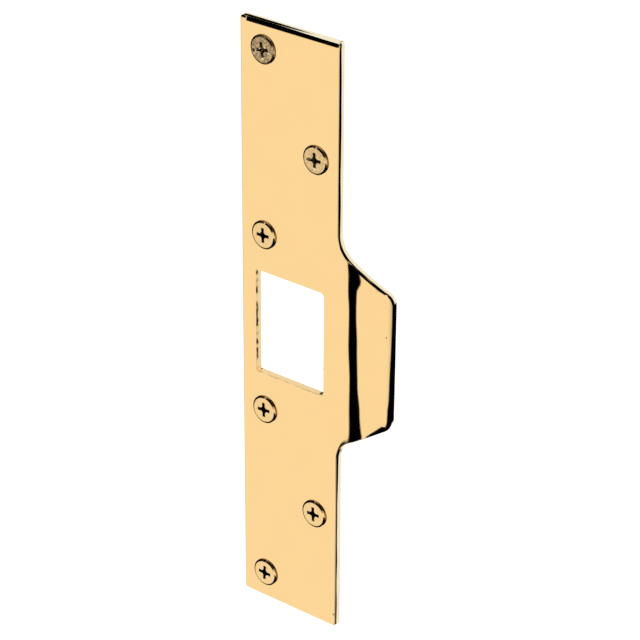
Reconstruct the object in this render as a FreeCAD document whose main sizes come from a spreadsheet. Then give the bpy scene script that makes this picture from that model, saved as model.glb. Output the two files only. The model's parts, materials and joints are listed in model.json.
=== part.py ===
import FreeCAD, Part
import math
import os
import Sketcher

# Door strike plate with a flared, bent-back lip and six countersunk wood screws.
# +Z is up as mounted, -Y is the face that shows and +Y goes into the door frame.
# The origin is the centre of the latch hole, level with the back of the plate.

# Driving sizes, in millimetres and degrees.
SIZES = {
    # Flat plate, cut from strip
    "plate_height": 203.2,
    "plate_width": 38.1,
    "plate_thickness": 2.38,
    "plate_corner": 0.9,
    # Latch hole
    "latch_width": 27.2,
    "latch_height": 36.0,
    "latch_corner": 1.5,
    "latch_heel_corner": 0.4,
    # Lip, seen square to the plate
    "lip_reach": 19.2,
    "lip_root_half": 39.2,
    "lip_tip_half": 19.7,
    "lip_root_radius": 8.8,
    "lip_corner_radius": 4.8,
    # Lip, seen end on: a bend, then a gentle curl
    "bend_start": 3.8,
    "bend_radius": 20.0,
    "bend_angle": 10.0,
    "curl_radius": 75.0,
    # Softened front edges
    "edge_ease": 0.3,
    "latch_ease": 0.25,
    "roll_length": 2.6,
    "roll_radius": 9.0,
    # Screws: heads, shanks and cross recesses
    "head_diameter": 9.4,
    "head_rim": 0.4,
    "bevel_width": 0.45,
    "bevel_depth": 0.22,
    "head_angle": 82.0,
    "head_proud": 0.6,
    "neck_flare": 0.12,
    "neck_length": 0.6,
    "shank_diameter": 4.83,
    "screw_length": 12.7,
    "point_length": 4.2,
    "point_diameter": 0.6,
    "recess_width": 5.0,
    "recess_floor": 2.0,
    "recess_depth": 2.1,
    "recess_slot": 1.15,
    "recess_core": 2.3,
    # Screw holes
    "hole_clearance": 0.25,
    "seat_clearance": 0.03,
    "side_inset": 8.85,
    "end_inset": 9.2,
    "latch_margin": 12.9,
    "middle_shift": 0.35,
}

# Places of the screws, in two columns set in from the sides. Above and below the middle, the
# outer ones are set in from the ends, the inner ones clear the latch hole and the middle ones
# are almost midway between.
COLUMN = "(Sizes.plate_width / 2 - Sizes.side_inset)"
OUTER = "(Sizes.plate_height / 2 - Sizes.end_inset)"
INNER = "(Sizes.latch_height / 2 + Sizes.latch_margin)"
MIDDLE = "((%s + %s) / 2 + Sizes.middle_shift)" % (OUTER, INNER)

# Each screw: side of the plate, height, up or down, turn of its recess, and how far and
# towards which side (0 is +X, 90 is +Z) its head stands out of true, in degrees.
SCREWS = [
    ("top_left", "left", OUTER, 1, 9.0, 1.2, 20.0),
    ("upper_right", "right", MIDDLE, 1, 3.0, 1.4, -10.0),
    ("upper_left", "left", INNER, 1, 2.5, 1.5, 0.0),
    ("lower_left", "left", INNER, -1, 3.5, 1.6, -40.0),
    ("lower_right", "right", MIDDLE, -1, 3.0, 1.8, -35.0),
    ("bottom_left", "left", OUTER, -1, -1.5, 1.6, -35.0),
]

# Cutters pass through what they cut by this much.
OVERRUN = 5.0

# The core of a cross recess goes this many times as deep as its slots.
CORE_DEPTH = 1.25

# An edge counts as sharp past this turn, in degrees, and a face as a front one past this
# share of facing forward. Lengths are compared to within NEAR.
SHARP_TURN = 30.0
FACING = 0.8
NEAR = 0.02

doc = FreeCAD.newDocument("door_strike_plate")
sheet = doc.addObject("Spreadsheet::Sheet", "Sizes")


def fill_sheet():
    row = 1
    for alias, value in SIZES.items():
        sheet.set("A%d" % row, alias)
        sheet.set("B%d" % row, str(value))
        sheet.setAlias("B%d" % row, alias)
        row += 1
    for name, side, rise, sign, turn, lean, heading in SCREWS:
        for word, value in (("turn", turn), ("lean", lean), ("heading", heading)):
            alias = "%s_%s" % (name, word)
            sheet.set("A%d" % row, alias)
            sheet.set("B%d" % row, str(value))
            sheet.setAlias("B%d" % row, alias)
            row += 1
    doc.recompute()


def size(alias):
    return float(sheet.get(alias))


def bind(item, prop, formula):
    item.setExpression(prop, formula)


def vec(x, y):
    return FreeCAD.Vector(x, y, 0)


def drive(sketch, name, formula, kind, *where):
    """Add a dimension to a sketch and tie it to the sheet."""
    index = sketch.addConstraint(Sketcher.Constraint(kind, *where))
    sketch.renameConstraint(index, name)
    bind(sketch, "Constraints.%s" % name, formula)


def relate(sketch, *relations):
    for relation in relations:
        sketch.addConstraint(Sketcher.Constraint(*relation))


def origin_plane(body, role):
    for feature in body.Origin.OriginFeatures:
        if feature.Role == role:
            return feature
    raise ValueError(role)


def sketch_on(body, role, name):
    sketch = body.newObject("Sketcher::SketchObject", name)
    sketch.AttachmentSupport = [(origin_plane(body, role), "")]
    sketch.MapMode = "FlatFace"
    return sketch


# Sketch point and axis codes
START = 1
END = 2
CENTRE = 3
ORIGIN = -1
ACROSS = -1
UPRIGHT = -2


def closed_polygon(sketch, points):
    count = len(points)
    for number in range(count):
        sketch.addGeometry(Part.LineSegment(points[number], points[(number + 1) % count]))
    for number in range(count):
        relate(sketch, ("Coincident", number, END, (number + 1) % count, START))


def section_sketch():
    """Front line of the plate and lip, seen from above: straight, bent, then curled."""
    half = size("plate_width") / 2
    front = -size("plate_thickness")
    bend = math.radians(size("bend_angle"))
    bend_radius = size("bend_radius")
    curl_radius = size("curl_radius")
    curl = size("lip_reach") / curl_radius
    down = -math.pi / 2
    bend_centre = vec(half + size("bend_start"), front + bend_radius)
    bend_end = bend_centre + vec(math.sin(bend), -math.cos(bend)) * bend_radius
    curl_centre = bend_end - vec(math.sin(bend), -math.cos(bend)) * curl_radius

    sketch = doc.addObject("Sketcher::SketchObject", "front_line")
    flat_end = vec(half + size("bend_start"), front)
    flat = sketch.addGeometry(Part.LineSegment(vec(-half, front), flat_end))
    bend_circle = Part.Circle(bend_centre, FreeCAD.Vector(0, 0, 1), bend_radius)
    curl_circle = Part.Circle(curl_centre, FreeCAD.Vector(0, 0, 1), curl_radius)
    arc = sketch.addGeometry(Part.ArcOfCircle(bend_circle, down, down + bend))
    tail = sketch.addGeometry(Part.ArcOfCircle(curl_circle, down + bend, down + bend + curl))
    relate(
        sketch,
        ("Horizontal", flat),
        ("Tangent", flat, END, arc, START),
        ("Tangent", arc, END, tail, START),
    )
    drive(sketch, "half_width", "Sizes.plate_width / 2", "DistanceX", flat, START, ORIGIN, START, half)
    drive(sketch, "depth", "Sizes.plate_thickness", "DistanceY", flat, START, ORIGIN, START, -front)
    flat_run = size("plate_width") + size("bend_start")
    run_formula = "Sizes.plate_width + Sizes.bend_start"
    drive(sketch, "flat_run", run_formula, "DistanceX", flat, START, flat, END, flat_run)
    drive(sketch, "bend_radius", "Sizes.bend_radius", "Radius", arc, bend_radius)
    drive(sketch, "curl_radius", "Sizes.curl_radius", "Radius", tail, curl_radius)
    drive(sketch, "bend_angle", "Sizes.bend_angle * 1 deg", "Angle", arc, bend)
    curl_formula = "Sizes.lip_reach / Sizes.curl_radius * 1 rad"
    drive(sketch, "curl_angle", curl_formula, "Angle", tail, curl)
    return sketch


def outline_sketch():
    """Outline of the plate and lip, seen square to the face."""
    half = size("plate_width") / 2
    top = size("plate_height") / 2
    tip = half + size("lip_reach")
    root_z = size("lip_root_half")
    tip_z = size("lip_tip_half")
    root_r = size("lip_root_radius")
    tip_r = size("lip_corner_radius")

    # The sloping side is the line that touches both arcs and crosses between them.
    root_centre = vec(half + root_r, root_z)
    tip_centre = vec(tip - tip_r, tip_z)
    between = tip_centre - root_centre
    slope = math.atan2(between.y, between.x)
    slope += math.asin((root_r + tip_r) / between.Length)
    normal = vec(math.sin(slope), -math.cos(slope))
    root_touch = root_centre + normal * root_r
    tip_touch = tip_centre - normal * tip_r
    turn = math.atan2(normal.y, normal.x)

    def arc(centre, radius, start, end):
        return Part.ArcOfCircle(Part.Circle(centre, FreeCAD.Vector(0, 0, 1), radius), start, end)

    def flip(point):
        return vec(point.x, -point.y)

    sketch = doc.addObject("Sketcher::SketchObject", "outline")
    sketch.Placement = FreeCAD.Placement(vec(0, 0), FreeCAD.Rotation(FreeCAD.Vector(1, 0, 0), 90))
    full = 2 * math.pi
    pieces = [
        Part.LineSegment(vec(-half, top), vec(half, top)),
        Part.LineSegment(vec(half, top), vec(half, root_z)),
        arc(root_centre, root_r, math.pi, turn % full),
        Part.LineSegment(root_touch, tip_touch),
        arc(tip_centre, tip_r, 0, (turn + math.pi) % full),
        Part.LineSegment(vec(tip, tip_z), vec(tip, -tip_z)),
        arc(flip(tip_centre), tip_r, (-turn - math.pi) % full, full),
        Part.LineSegment(flip(tip_touch), flip(root_touch)),
        arc(flip(root_centre), root_r, (-turn) % full, math.pi),
        Part.LineSegment(vec(half, -root_z), vec(half, -top)),
        Part.LineSegment(vec(half, -top), vec(-half, -top)),
        Part.LineSegment(vec(-half, -top), vec(-half, top)),
    ]
    for piece in pieces:
        sketch.addGeometry(piece)
    head, edge, root, side, corner, end = range(6)
    low_corner, low_side, low_root, low_edge, foot, back = range(6, 12)
    relate(
        sketch,
        ("Coincident", head, END, edge, START),
        ("Tangent", edge, END, root, START),
        ("Tangent", root, END, side, START),
        ("Tangent", side, END, corner, END),
        ("Tangent", corner, START, end, START),
        ("Tangent", end, END, low_corner, END),
        ("Tangent", low_corner, START, low_side, START),
        ("Tangent", low_side, END, low_root, START),
        ("Tangent", low_root, END, low_edge, START),
        ("Coincident", low_edge, END, foot, START),
        ("Coincident", foot, END, back, START),
        ("Coincident", back, END, head, START),
        ("Vertical", edge),
        ("Symmetric", head, START, head, END, UPRIGHT),
        ("Symmetric", head, START, foot, END, ACROSS),
        ("Symmetric", head, END, foot, START, ACROSS),
        ("Symmetric", edge, END, low_edge, START, ACROSS),
        ("Symmetric", end, START, end, END, ACROSS),
        ("Equal", root, low_root),
        ("Equal", corner, low_corner),
    )
    drive(sketch, "width", "Sizes.plate_width", "DistanceX", head, START, head, END, 2 * half)
    drive(sketch, "height", "Sizes.plate_height", "DistanceY", back, START, back, END, 2 * top)
    drive(sketch, "reach", "Sizes.lip_reach", "DistanceX", edge, END, end, START, tip - half)
    root_formula = "2 * Sizes.lip_root_half"
    drive(sketch, "root_height", root_formula, "DistanceY", low_edge, START, edge, END, 2 * root_z)
    drive(sketch, "tip_height", "2 * Sizes.lip_tip_half", "DistanceY", end, END, end, START, 2 * tip_z)
    drive(sketch, "root_radius", "Sizes.lip_root_radius", "Radius", root, root_r)
    drive(sketch, "corner_radius", "Sizes.lip_corner_radius", "Radius", corner, tip_r)
    return sketch


def formed_sheet():
    """The blank: the bent front skin, trimmed to the outline and thickened towards the back."""
    front_line = section_sketch()
    outline = outline_sketch()
    doc.recompute()

    skin = doc.addObject("Part::Extrusion", "front_skin")
    skin.Base = front_line
    skin.DirMode = "Custom"
    skin.Dir = FreeCAD.Vector(0, 0, 1)
    skin.Symmetric = True
    bind(skin, "LengthFwd", "Sizes.plate_height + %g" % (2 * OVERRUN))

    trim = doc.addObject("Part::Extrusion", "outline_block")
    trim.Base = outline
    trim.DirMode = "Custom"
    trim.Dir = FreeCAD.Vector(0, 1, 0)
    trim.Solid = True
    trim.Symmetric = True
    bind(trim, "LengthFwd", "4 * Sizes.lip_reach")

    trimmed = doc.addObject("Part::Common", "trimmed_skin")
    trimmed.Base = skin
    trimmed.Tool = trim
    doc.recompute()

    blank = doc.addObject("Part::Offset", "formed_sheet")
    blank.Source = trimmed
    blank.Fill = True
    bind(blank, "Value", "Sizes.plate_thickness")
    doc.recompute()
    return blank


def cut_latch_hole(body):
    """The hole that takes the latch: a rectangle, more rounded towards the lip, cut right through."""
    sketch = sketch_on(body, "XZ_Plane", "latch_outline")
    wide = size("latch_width") / 2
    tall = size("latch_height") / 2
    toe = size("latch_corner")
    heel = size("latch_heel_corner")
    corners = [(1, 1, toe), (-1, 1, heel), (-1, -1, heel), (1, -1, toe)]
    arcs = []
    lines = []
    for number, (sx, sz, radius) in enumerate(corners):
        centre = vec(sx * (wide - radius), sz * (tall - radius))
        start = number * math.pi / 2
        circle = Part.Circle(centre, FreeCAD.Vector(0, 0, 1), radius)
        arcs.append(sketch.addGeometry(Part.ArcOfCircle(circle, start, start + math.pi / 2)))
    for number in range(4):
        here = sketch.getPoint(arcs[number], END)
        there = sketch.getPoint(arcs[(number + 1) % 4], START)
        lines.append(sketch.addGeometry(Part.LineSegment(here, there)))
    for number in range(4):
        relate(
            sketch,
            ("Tangent", arcs[number], END, lines[number], START),
            ("Tangent", lines[number], END, arcs[(number + 1) % 4], START),
        )
    relate(
        sketch,
        ("Horizontal", lines[0]),
        ("Vertical", lines[1]),
        ("Horizontal", lines[2]),
        ("Vertical", lines[3]),
        ("Equal", arcs[0], arcs[3]),
        ("Equal", arcs[1], arcs[2]),
    )
    drive(sketch, "toe", "Sizes.latch_corner", "Radius", arcs[0], toe)
    drive(sketch, "heel", "Sizes.latch_heel_corner", "Radius", arcs[1], heel)
    drive(sketch, "right", "Sizes.latch_width / 2", "DistanceX", ORIGIN, START, lines[3], START, wide)
    drive(sketch, "left", "Sizes.latch_width / 2", "DistanceX", lines[1], END, ORIGIN, START, wide)
    drive(sketch, "top", "Sizes.latch_height / 2", "DistanceY", ORIGIN, START, lines[0], START, tall)
    drive(sketch, "foot", "Sizes.latch_height / 2", "DistanceY", lines[2], START, ORIGIN, START, tall)
    doc.recompute()
    pocket = body.newObject("PartDesign::Pocket", "latch_hole")
    pocket.Profile = sketch
    pocket.Type = "ThroughAll"
    pocket.SideType = "Symmetric"
    doc.recompute()
    return pocket


def hole_places():
    """Where each screw hole is: name, side sign, formula of its height, up or down, height."""
    outer = size("plate_height") / 2 - size("end_inset")
    inner = size("latch_height") / 2 + size("latch_margin")
    middle = (outer + inner) / 2 + size("middle_shift")
    heights = {OUTER: outer, MIDDLE: middle, INNER: inner}
    places = []
    for name, side, rise, sign, turn, lean, heading in SCREWS:
        places.append((name, -1 if side == "left" else 1, rise, sign, heights[rise]))
    return places


def drill_screw_holes(body):
    """Six clearance holes, countersunk from the front to seat the heads a little proud."""
    sketch = sketch_on(body, "XZ_Plane", "screw_places")
    bind(sketch, "AttachmentOffset.Base.z", "Sizes.plate_thickness")
    shank = size("shank_diameter") / 2 + size("hole_clearance")
    column = size("plate_width") / 2 - size("side_inset")
    for name, side, rise, sign, height in hole_places():
        centre = vec(side * column, sign * height)
        circle = sketch.addGeometry(Part.Circle(centre, FreeCAD.Vector(0, 0, 1), shank))
        across = (circle, CENTRE, ORIGIN, START) if side < 0 else (ORIGIN, START, circle, CENTRE)
        upright = (circle, CENTRE, ORIGIN, START) if sign < 0 else (ORIGIN, START, circle, CENTRE)
        drive(sketch, name + "_across", COLUMN, "DistanceX", *across, column)
        drive(sketch, name + "_up", rise, "DistanceY", *upright, height)
        formula = "Sizes.shank_diameter / 2 + Sizes.hole_clearance"
        drive(sketch, name + "_radius", formula, "Radius", circle, shank)
    doc.recompute()

    hole = body.newObject("PartDesign::Hole", "screw_holes")
    hole.Profile = sketch
    doc.recompute()
    hole.ThreadType = "None"
    hole.DepthType = "ThroughAll"
    hole.HoleCutType = "Countersink"
    bind(hole, "Diameter", "Sizes.shank_diameter + 2 * Sizes.hole_clearance")
    bind(hole, "HoleCutDiameter", seat_diameter_formula())
    bind(hole, "HoleCutCountersinkAngle", "Sizes.head_angle * 1 deg")
    doc.recompute()
    return hole


def seat_diameter_formula():
    """Width of the countersink at the plate's face: the head's cone there, and its clearance."""
    buried = "(Sizes.head_proud - Sizes.head_rim) * tan(Sizes.head_angle * 1 deg / 2)"
    gap = "Sizes.seat_clearance / cos(Sizes.head_angle * 1 deg / 2)"
    return "Sizes.head_diameter - 2 * %s + 2 * %s" % (buried, gap)


def roll_ends(body):
    """The face rolls over gently towards the sheared top and bottom ends."""
    sketch = sketch_on(body, "YZ_Plane", "end_roll")
    radius = size("roll_radius")
    front = -size("plate_thickness")
    start = size("plate_height") / 2 - size("roll_length")
    sweep = 1.5 * math.asin(size("roll_length") / radius)
    centre = vec(front + radius, start)
    circle = Part.Circle(centre, FreeCAD.Vector(0, 0, 1), radius)
    arc = sketch.addGeometry(Part.ArcOfCircle(circle, math.pi - sweep, math.pi))
    low = sketch.getPoint(arc, END)
    high = sketch.getPoint(arc, START)
    outer_low = vec(front - OVERRUN, low.y)
    outer_high = vec(front - OVERRUN, high.y)
    foot = sketch.addGeometry(Part.LineSegment(low, outer_low))
    side = sketch.addGeometry(Part.LineSegment(outer_low, outer_high))
    head = sketch.addGeometry(Part.LineSegment(outer_high, high))
    relate(
        sketch,
        ("Coincident", arc, END, foot, START),
        ("Coincident", foot, END, side, START),
        ("Coincident", side, END, head, START),
        ("Coincident", head, END, arc, START),
        ("Horizontal", foot),
        ("Horizontal", head),
        ("Vertical", side),
        ("Horizontal", arc, END, arc, CENTRE),
    )
    drive(sketch, "radius", "Sizes.roll_radius", "Radius", arc, radius)
    drive(sketch, "face", "Sizes.plate_thickness", "DistanceX", arc, END, ORIGIN, START, -front)
    start_formula = "Sizes.plate_height / 2 - Sizes.roll_length"
    drive(sketch, "start", start_formula, "DistanceY", ORIGIN, START, arc, END, start)
    rise_formula = "1.4 * Sizes.roll_length"
    drive(sketch, "rise", rise_formula, "DistanceY", arc, END, arc, START, 1.4 * size("roll_length"))
    drive(sketch, "outside", "%g" % OVERRUN, "DistanceX", foot, END, foot, START, OVERRUN)
    doc.recompute()

    cut = body.newObject("PartDesign::Pocket", "top_roll")
    cut.Profile = sketch
    cut.Type = "ThroughAll"
    cut.SideType = "Symmetric"
    doc.recompute()
    mirror = body.newObject("PartDesign::Mirrored", "bottom_roll")
    mirror.Originals = [cut]
    mirror.MirrorPlane = (origin_plane(body, "XY_Plane"), [""])
    body.Tip = mirror
    doc.recompute()
    return mirror


def outward(shape, edge, point):
    """Outward directions of the faces that meet at an edge."""
    directions = []
    for face in shape.ancestorsOfType(edge, Part.Face):
        directions.append(face.normalAt(*face.Surface.parameter(point)))
    return directions


def is_front_edge(shape, edge, middle):
    """True where a face that shows turns sharply into a wall of the sheet."""
    directions = outward(shape, edge, middle)
    if len(directions) != 2:
        return False
    turn = math.degrees(directions[0].getAngle(directions[1]))
    return turn > SHARP_TURN and min(directions[0].y, directions[1].y) < -FACING


def in_latch_hole(middle):
    wide = size("latch_width") / 2 + NEAR
    tall = size("latch_height") / 2 + NEAR
    return abs(middle.x) < wide and abs(middle.z) < tall


def in_screw_hole(middle):
    column = size("plate_width") / 2 - size("side_inset")
    for name, side, rise, sign, height in hole_places():
        centre = FreeCAD.Vector(side * column, middle.y, sign * height)
        if middle.distanceToPoint(centre) < size("head_diameter") / 2 + NEAR:
            return True
    return False


def round_edges(body, name, formula, wanted):
    base = body.Tip
    names = []
    for number, edge in enumerate(base.Shape.Edges, 1):
        middle = edge.valueAt((edge.FirstParameter + edge.LastParameter) / 2)
        if wanted(base.Shape, edge, middle):
            names.append("Edge%d" % number)
    fillet = body.newObject("PartDesign::Fillet", name)
    fillet.Base = (base, names)
    bind(fillet, "Radius", formula)
    body.Tip = fillet
    doc.recompute()
    return fillet


def soften_edges(body):
    """Small plan corners on the strip, then an ease round the front outline and the latch hole."""
    half = size("plate_width") / 2
    top = size("plate_height") / 2

    def plan_corner(shape, edge, middle):
        square_on = abs(edge.tangentAt(edge.FirstParameter).y) > 1 - NEAR
        return square_on and abs(abs(middle.x) - half) < NEAR and abs(abs(middle.z) - top) < NEAR

    def outline_edge(shape, edge, middle):
        if in_latch_hole(middle) or in_screw_hole(middle):
            return False
        return is_front_edge(shape, edge, middle)

    def latch_edge(shape, edge, middle):
        return in_latch_hole(middle) and is_front_edge(shape, edge, middle)

    round_edges(body, "plan_corners", "Sizes.plate_corner", plan_corner)
    round_edges(body, "front_ease", "Sizes.edge_ease", outline_edge)
    round_edges(body, "latch_rim", "Sizes.latch_ease", latch_edge)


def screw_sketch(body):
    """Half of the screw's outline, turned about its axis: head, neck, shank and blunt point."""
    head = size("head_diameter") / 2
    rim = size("head_rim")
    wide = size("bevel_width")
    deep = size("bevel_depth")
    shank = size("shank_diameter") / 2
    neck = shank + size("neck_flare")
    neck_length = size("neck_length")
    cone = (head - neck) / math.tan(math.radians(size("head_angle") / 2))
    long = size("screw_length")
    shoulder = long - size("point_length")
    blunt = size("point_diameter") / 2
    points = [
        vec(0, 0),
        vec(head - wide, 0),
        vec(head, deep),
        vec(head, rim),
        vec(neck, rim + cone),
        vec(shank, rim + cone + neck_length),
        vec(shank, shoulder),
        vec(blunt, long),
        vec(0, long),
    ]
    sketch = sketch_on(body, "XY_Plane", "screw_profile")
    closed_polygon(sketch, points)
    top, bevel, wall, under, flare, side, point, tip, axis = range(9)
    relate(
        sketch,
        ("Coincident", top, START, ORIGIN, START),
        ("Horizontal", top),
        ("Vertical", wall),
        ("Vertical", side),
        ("Horizontal", tip),
        ("Vertical", axis),
    )
    drive(sketch, "head", "Sizes.head_diameter / 2", "DistanceX", top, START, wall, START, head)
    drive(sketch, "rim", "Sizes.head_rim", "DistanceY", top, START, wall, END, rim)
    drive(sketch, "bevel_wide", "Sizes.bevel_width", "DistanceX", bevel, START, bevel, END, wide)
    drive(sketch, "bevel_deep", "Sizes.bevel_depth", "DistanceY", bevel, START, bevel, END, deep)
    overhang = "((Sizes.head_diameter - Sizes.shank_diameter) / 2 - Sizes.neck_flare)"
    cone_formula = overhang + " / tan(Sizes.head_angle * 1 deg / 2)"
    drive(sketch, "cone", cone_formula, "DistanceY", under, START, under, END, cone)
    drive(sketch, "flare", "Sizes.neck_flare", "DistanceX", flare, END, flare, START, neck - shank)
    drive(sketch, "neck", "Sizes.neck_length", "DistanceY", flare, START, flare, END, neck_length)
    drive(sketch, "shank", "Sizes.shank_diameter / 2", "DistanceX", axis, START, side, START, shank)
    drive(sketch, "length", "Sizes.screw_length", "DistanceY", axis, END, axis, START, long)
    drive(sketch, "point", "Sizes.point_length", "DistanceY", point, START, point, END, long - shoulder)
    drive(sketch, "blunt", "Sizes.point_diameter / 2", "DistanceX", tip, END, tip, START, blunt)
    return sketch


def recess_slot_sketch(body):
    """Side view of one slot of the cross recess: straight above the head, tapering below."""
    wide = size("recess_width") / 2
    floor = size("recess_floor") / 2
    deep = size("recess_depth")
    sketch = sketch_on(body, "XY_Plane", "slot_profile")
    points = [
        vec(-wide, -OVERRUN),
        vec(wide, -OVERRUN),
        vec(wide, 0),
        vec(floor, deep),
        vec(-floor, deep),
        vec(-wide, 0),
    ]
    closed_polygon(sketch, points)
    lid, right, right_slope, bed, left_slope, left = range(6)
    relate(
        sketch,
        ("Horizontal", lid),
        ("Vertical", right),
        ("Vertical", left),
        ("Symmetric", right, END, left, START, UPRIGHT),
        ("PointOnObject", right, END, ACROSS),
        ("Symmetric", bed, START, bed, END, UPRIGHT),
    )
    drive(sketch, "wide", "Sizes.recess_width", "DistanceX", lid, START, lid, END, 2 * wide)
    drive(sketch, "floor", "Sizes.recess_floor", "DistanceX", bed, END, bed, START, 2 * floor)
    drive(sketch, "deep", "Sizes.recess_depth", "DistanceY", right, END, bed, START, deep)
    drive(sketch, "above", "%g" % OVERRUN, "DistanceY", right, START, right, END, OVERRUN)
    return sketch


def recess_core_sketch(body):
    """Half of the tapering core where the slots of the recess cross."""
    radius = size("recess_core") / 2
    deep = CORE_DEPTH * size("recess_depth")
    sketch = sketch_on(body, "XY_Plane", "core_profile")
    closed_polygon(sketch, [vec(0, 0), vec(radius, 0), vec(0, deep)])
    mouth, slope, axis = range(3)
    relate(
        sketch,
        ("Coincident", mouth, START, ORIGIN, START),
        ("Horizontal", mouth),
        ("Vertical", axis),
    )
    drive(sketch, "mouth", "Sizes.recess_core / 2", "DistanceX", mouth, START, mouth, END, radius)
    depth_formula = "%g * Sizes.recess_depth" % CORE_DEPTH
    drive(sketch, "deep", depth_formula, "DistanceY", axis, END, axis, START, deep)
    return sketch


def make_screw():
    """One flat-head wood screw, its axis on +Y and the top of its head at the origin."""
    body = doc.addObject("PartDesign::Body", "screw")
    profile = screw_sketch(body)
    doc.recompute()
    turned = body.newObject("PartDesign::Revolution", "turned")
    turned.Profile = profile
    turned.ReferenceAxis = (profile, ["V_Axis"])
    turned.Angle = 360
    doc.recompute()

    slot = recess_slot_sketch(body)
    doc.recompute()
    arm = body.newObject("PartDesign::Pocket", "recess_slot")
    arm.Profile = slot
    arm.SideType = "Symmetric"
    bind(arm, "Length", "Sizes.recess_slot")
    doc.recompute()
    cross = body.newObject("PartDesign::PolarPattern", "recess_cross")
    cross.Originals = [arm]
    cross.Axis = (slot, ["V_Axis"])
    cross.Angle = 90
    cross.Occurrences = 2
    body.Tip = cross
    doc.recompute()

    profile = recess_core_sketch(body)
    doc.recompute()
    core = body.newObject("PartDesign::Groove", "recess_core")
    core.Profile = profile
    core.ReferenceAxis = (profile, ["V_Axis"])
    core.Angle = 360
    body.Tip = core
    doc.recompute()
    return body


def placement_formula(name, side, rise, sign):
    """Seats a screw in its hole: turned about its own axis, then leaned, lifted by the lean."""
    lean = "Sizes.%s_lean * 1 deg" % name
    heading = "Sizes.%s_heading * 1 deg" % name
    turn = "Sizes.%s_turn * 1 deg" % name
    lift = "Sizes.head_proud + Sizes.head_diameter / 2 * sin(%s)" % lean
    across = "%d * %s" % (side, COLUMN)
    place = "vector(%s; -Sizes.plate_thickness - (%s); %d * %s)" % (across, lift, sign, rise)
    tilt = "rotation(vector(sin(%s); 0; -cos(%s)); %s)" % (heading, heading, lean)
    spin = "rotation(vector(0; -1; 0); %s)" % turn
    return "placement(%s; %s * %s)" % (place, tilt, spin)


def place_screws(screw):
    """Six copies of the screw, one in each hole, kept together as one sub-part."""
    copies = []
    for name, side, rise, sign, height in hole_places():
        copy = doc.addObject("App::Link", "screw_%s" % name)
        copy.LinkedObject = screw
        bind(copy, "Placement", placement_formula(name, side, rise, sign))
        copies.append(copy)
    doc.recompute()
    group = doc.addObject("Part::Compound", "screws")
    group.Links = copies
    doc.recompute()
    return group


def make_plate():
    """The strike plate: one formed and cut piece of sheet."""
    blank = formed_sheet()
    body = doc.addObject("PartDesign::Body", "strike_plate")
    body.BaseFeature = blank
    doc.recompute()
    cut_latch_hole(body)
    drill_screw_holes(body)
    roll_ends(body)
    soften_edges(body)
    return body


fill_sheet()
plate = make_plate()
screws = place_screws(make_screw())
plate.Label = "strike_plate"
screws.Label = "screws"
for part in (plate, screws):
    part.Placement = FreeCAD.Placement()
doc.recompute()

for item in doc.Objects:
    faults = [word for word in item.State if word in ("Invalid", "Error")]
    if faults:
        raise RuntimeError("%s is %s" % (item.Label, faults))

os.makedirs("parts", exist_ok=True)
for part, solids in ((plate, 1), (screws, len(SCREWS))):
    shape = part.Shape
    if shape.isNull() or not shape.isValid() or len(shape.Solids) != solids:
        raise RuntimeError("%s has a faulty shape" % part.Label)
    shape.exportStep("parts/%s.step" % part.Label)
    box = shape.BoundBox
    print(part.Label, "%d solids, %.1f mm3" % (len(shape.Solids), shape.Volume), box)
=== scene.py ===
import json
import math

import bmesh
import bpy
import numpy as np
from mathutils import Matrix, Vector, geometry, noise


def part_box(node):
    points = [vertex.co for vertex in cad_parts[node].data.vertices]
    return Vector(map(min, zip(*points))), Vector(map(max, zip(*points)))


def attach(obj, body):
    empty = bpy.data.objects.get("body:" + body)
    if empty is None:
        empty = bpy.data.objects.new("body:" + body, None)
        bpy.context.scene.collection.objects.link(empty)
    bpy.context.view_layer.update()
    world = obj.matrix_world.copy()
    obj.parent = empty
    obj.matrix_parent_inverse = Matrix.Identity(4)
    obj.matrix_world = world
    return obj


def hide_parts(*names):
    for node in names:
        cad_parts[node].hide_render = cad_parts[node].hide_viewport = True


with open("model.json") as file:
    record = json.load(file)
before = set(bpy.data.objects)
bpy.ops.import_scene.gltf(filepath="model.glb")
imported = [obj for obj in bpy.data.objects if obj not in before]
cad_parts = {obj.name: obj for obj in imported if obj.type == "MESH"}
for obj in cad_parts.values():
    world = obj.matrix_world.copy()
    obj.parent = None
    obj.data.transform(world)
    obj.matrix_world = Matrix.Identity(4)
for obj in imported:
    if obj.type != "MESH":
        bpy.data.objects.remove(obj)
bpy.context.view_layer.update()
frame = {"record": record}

# %% [markdown]
# # A polished brass door strike plate
#
# A strike plate is screwed to the door frame where the latch meets it. This one is long, so that
# six screws share the load, and its lip bends back round the corner of the frame and guides the
# latch in. The scene dresses the CAD model: one formed sheet and six wood screws.
#
# All lengths below are written in millimetres, as on a drawing, and turned into metres when a
# mesh is made. The axes are those of the CAD model: +X towards the lip, -Y out of the polished
# face, +Z up.

MM = 0.001
plate_low, plate_high = [Vector(corner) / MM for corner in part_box("strike_plate")]

# %% [markdown]
# ## The sizes of the sheet
#
# The plate's length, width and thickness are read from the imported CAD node, so they cannot drift
# away from it. The lip, the bend and the holes are drawn from the same sizes as in the CAD model.

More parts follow.
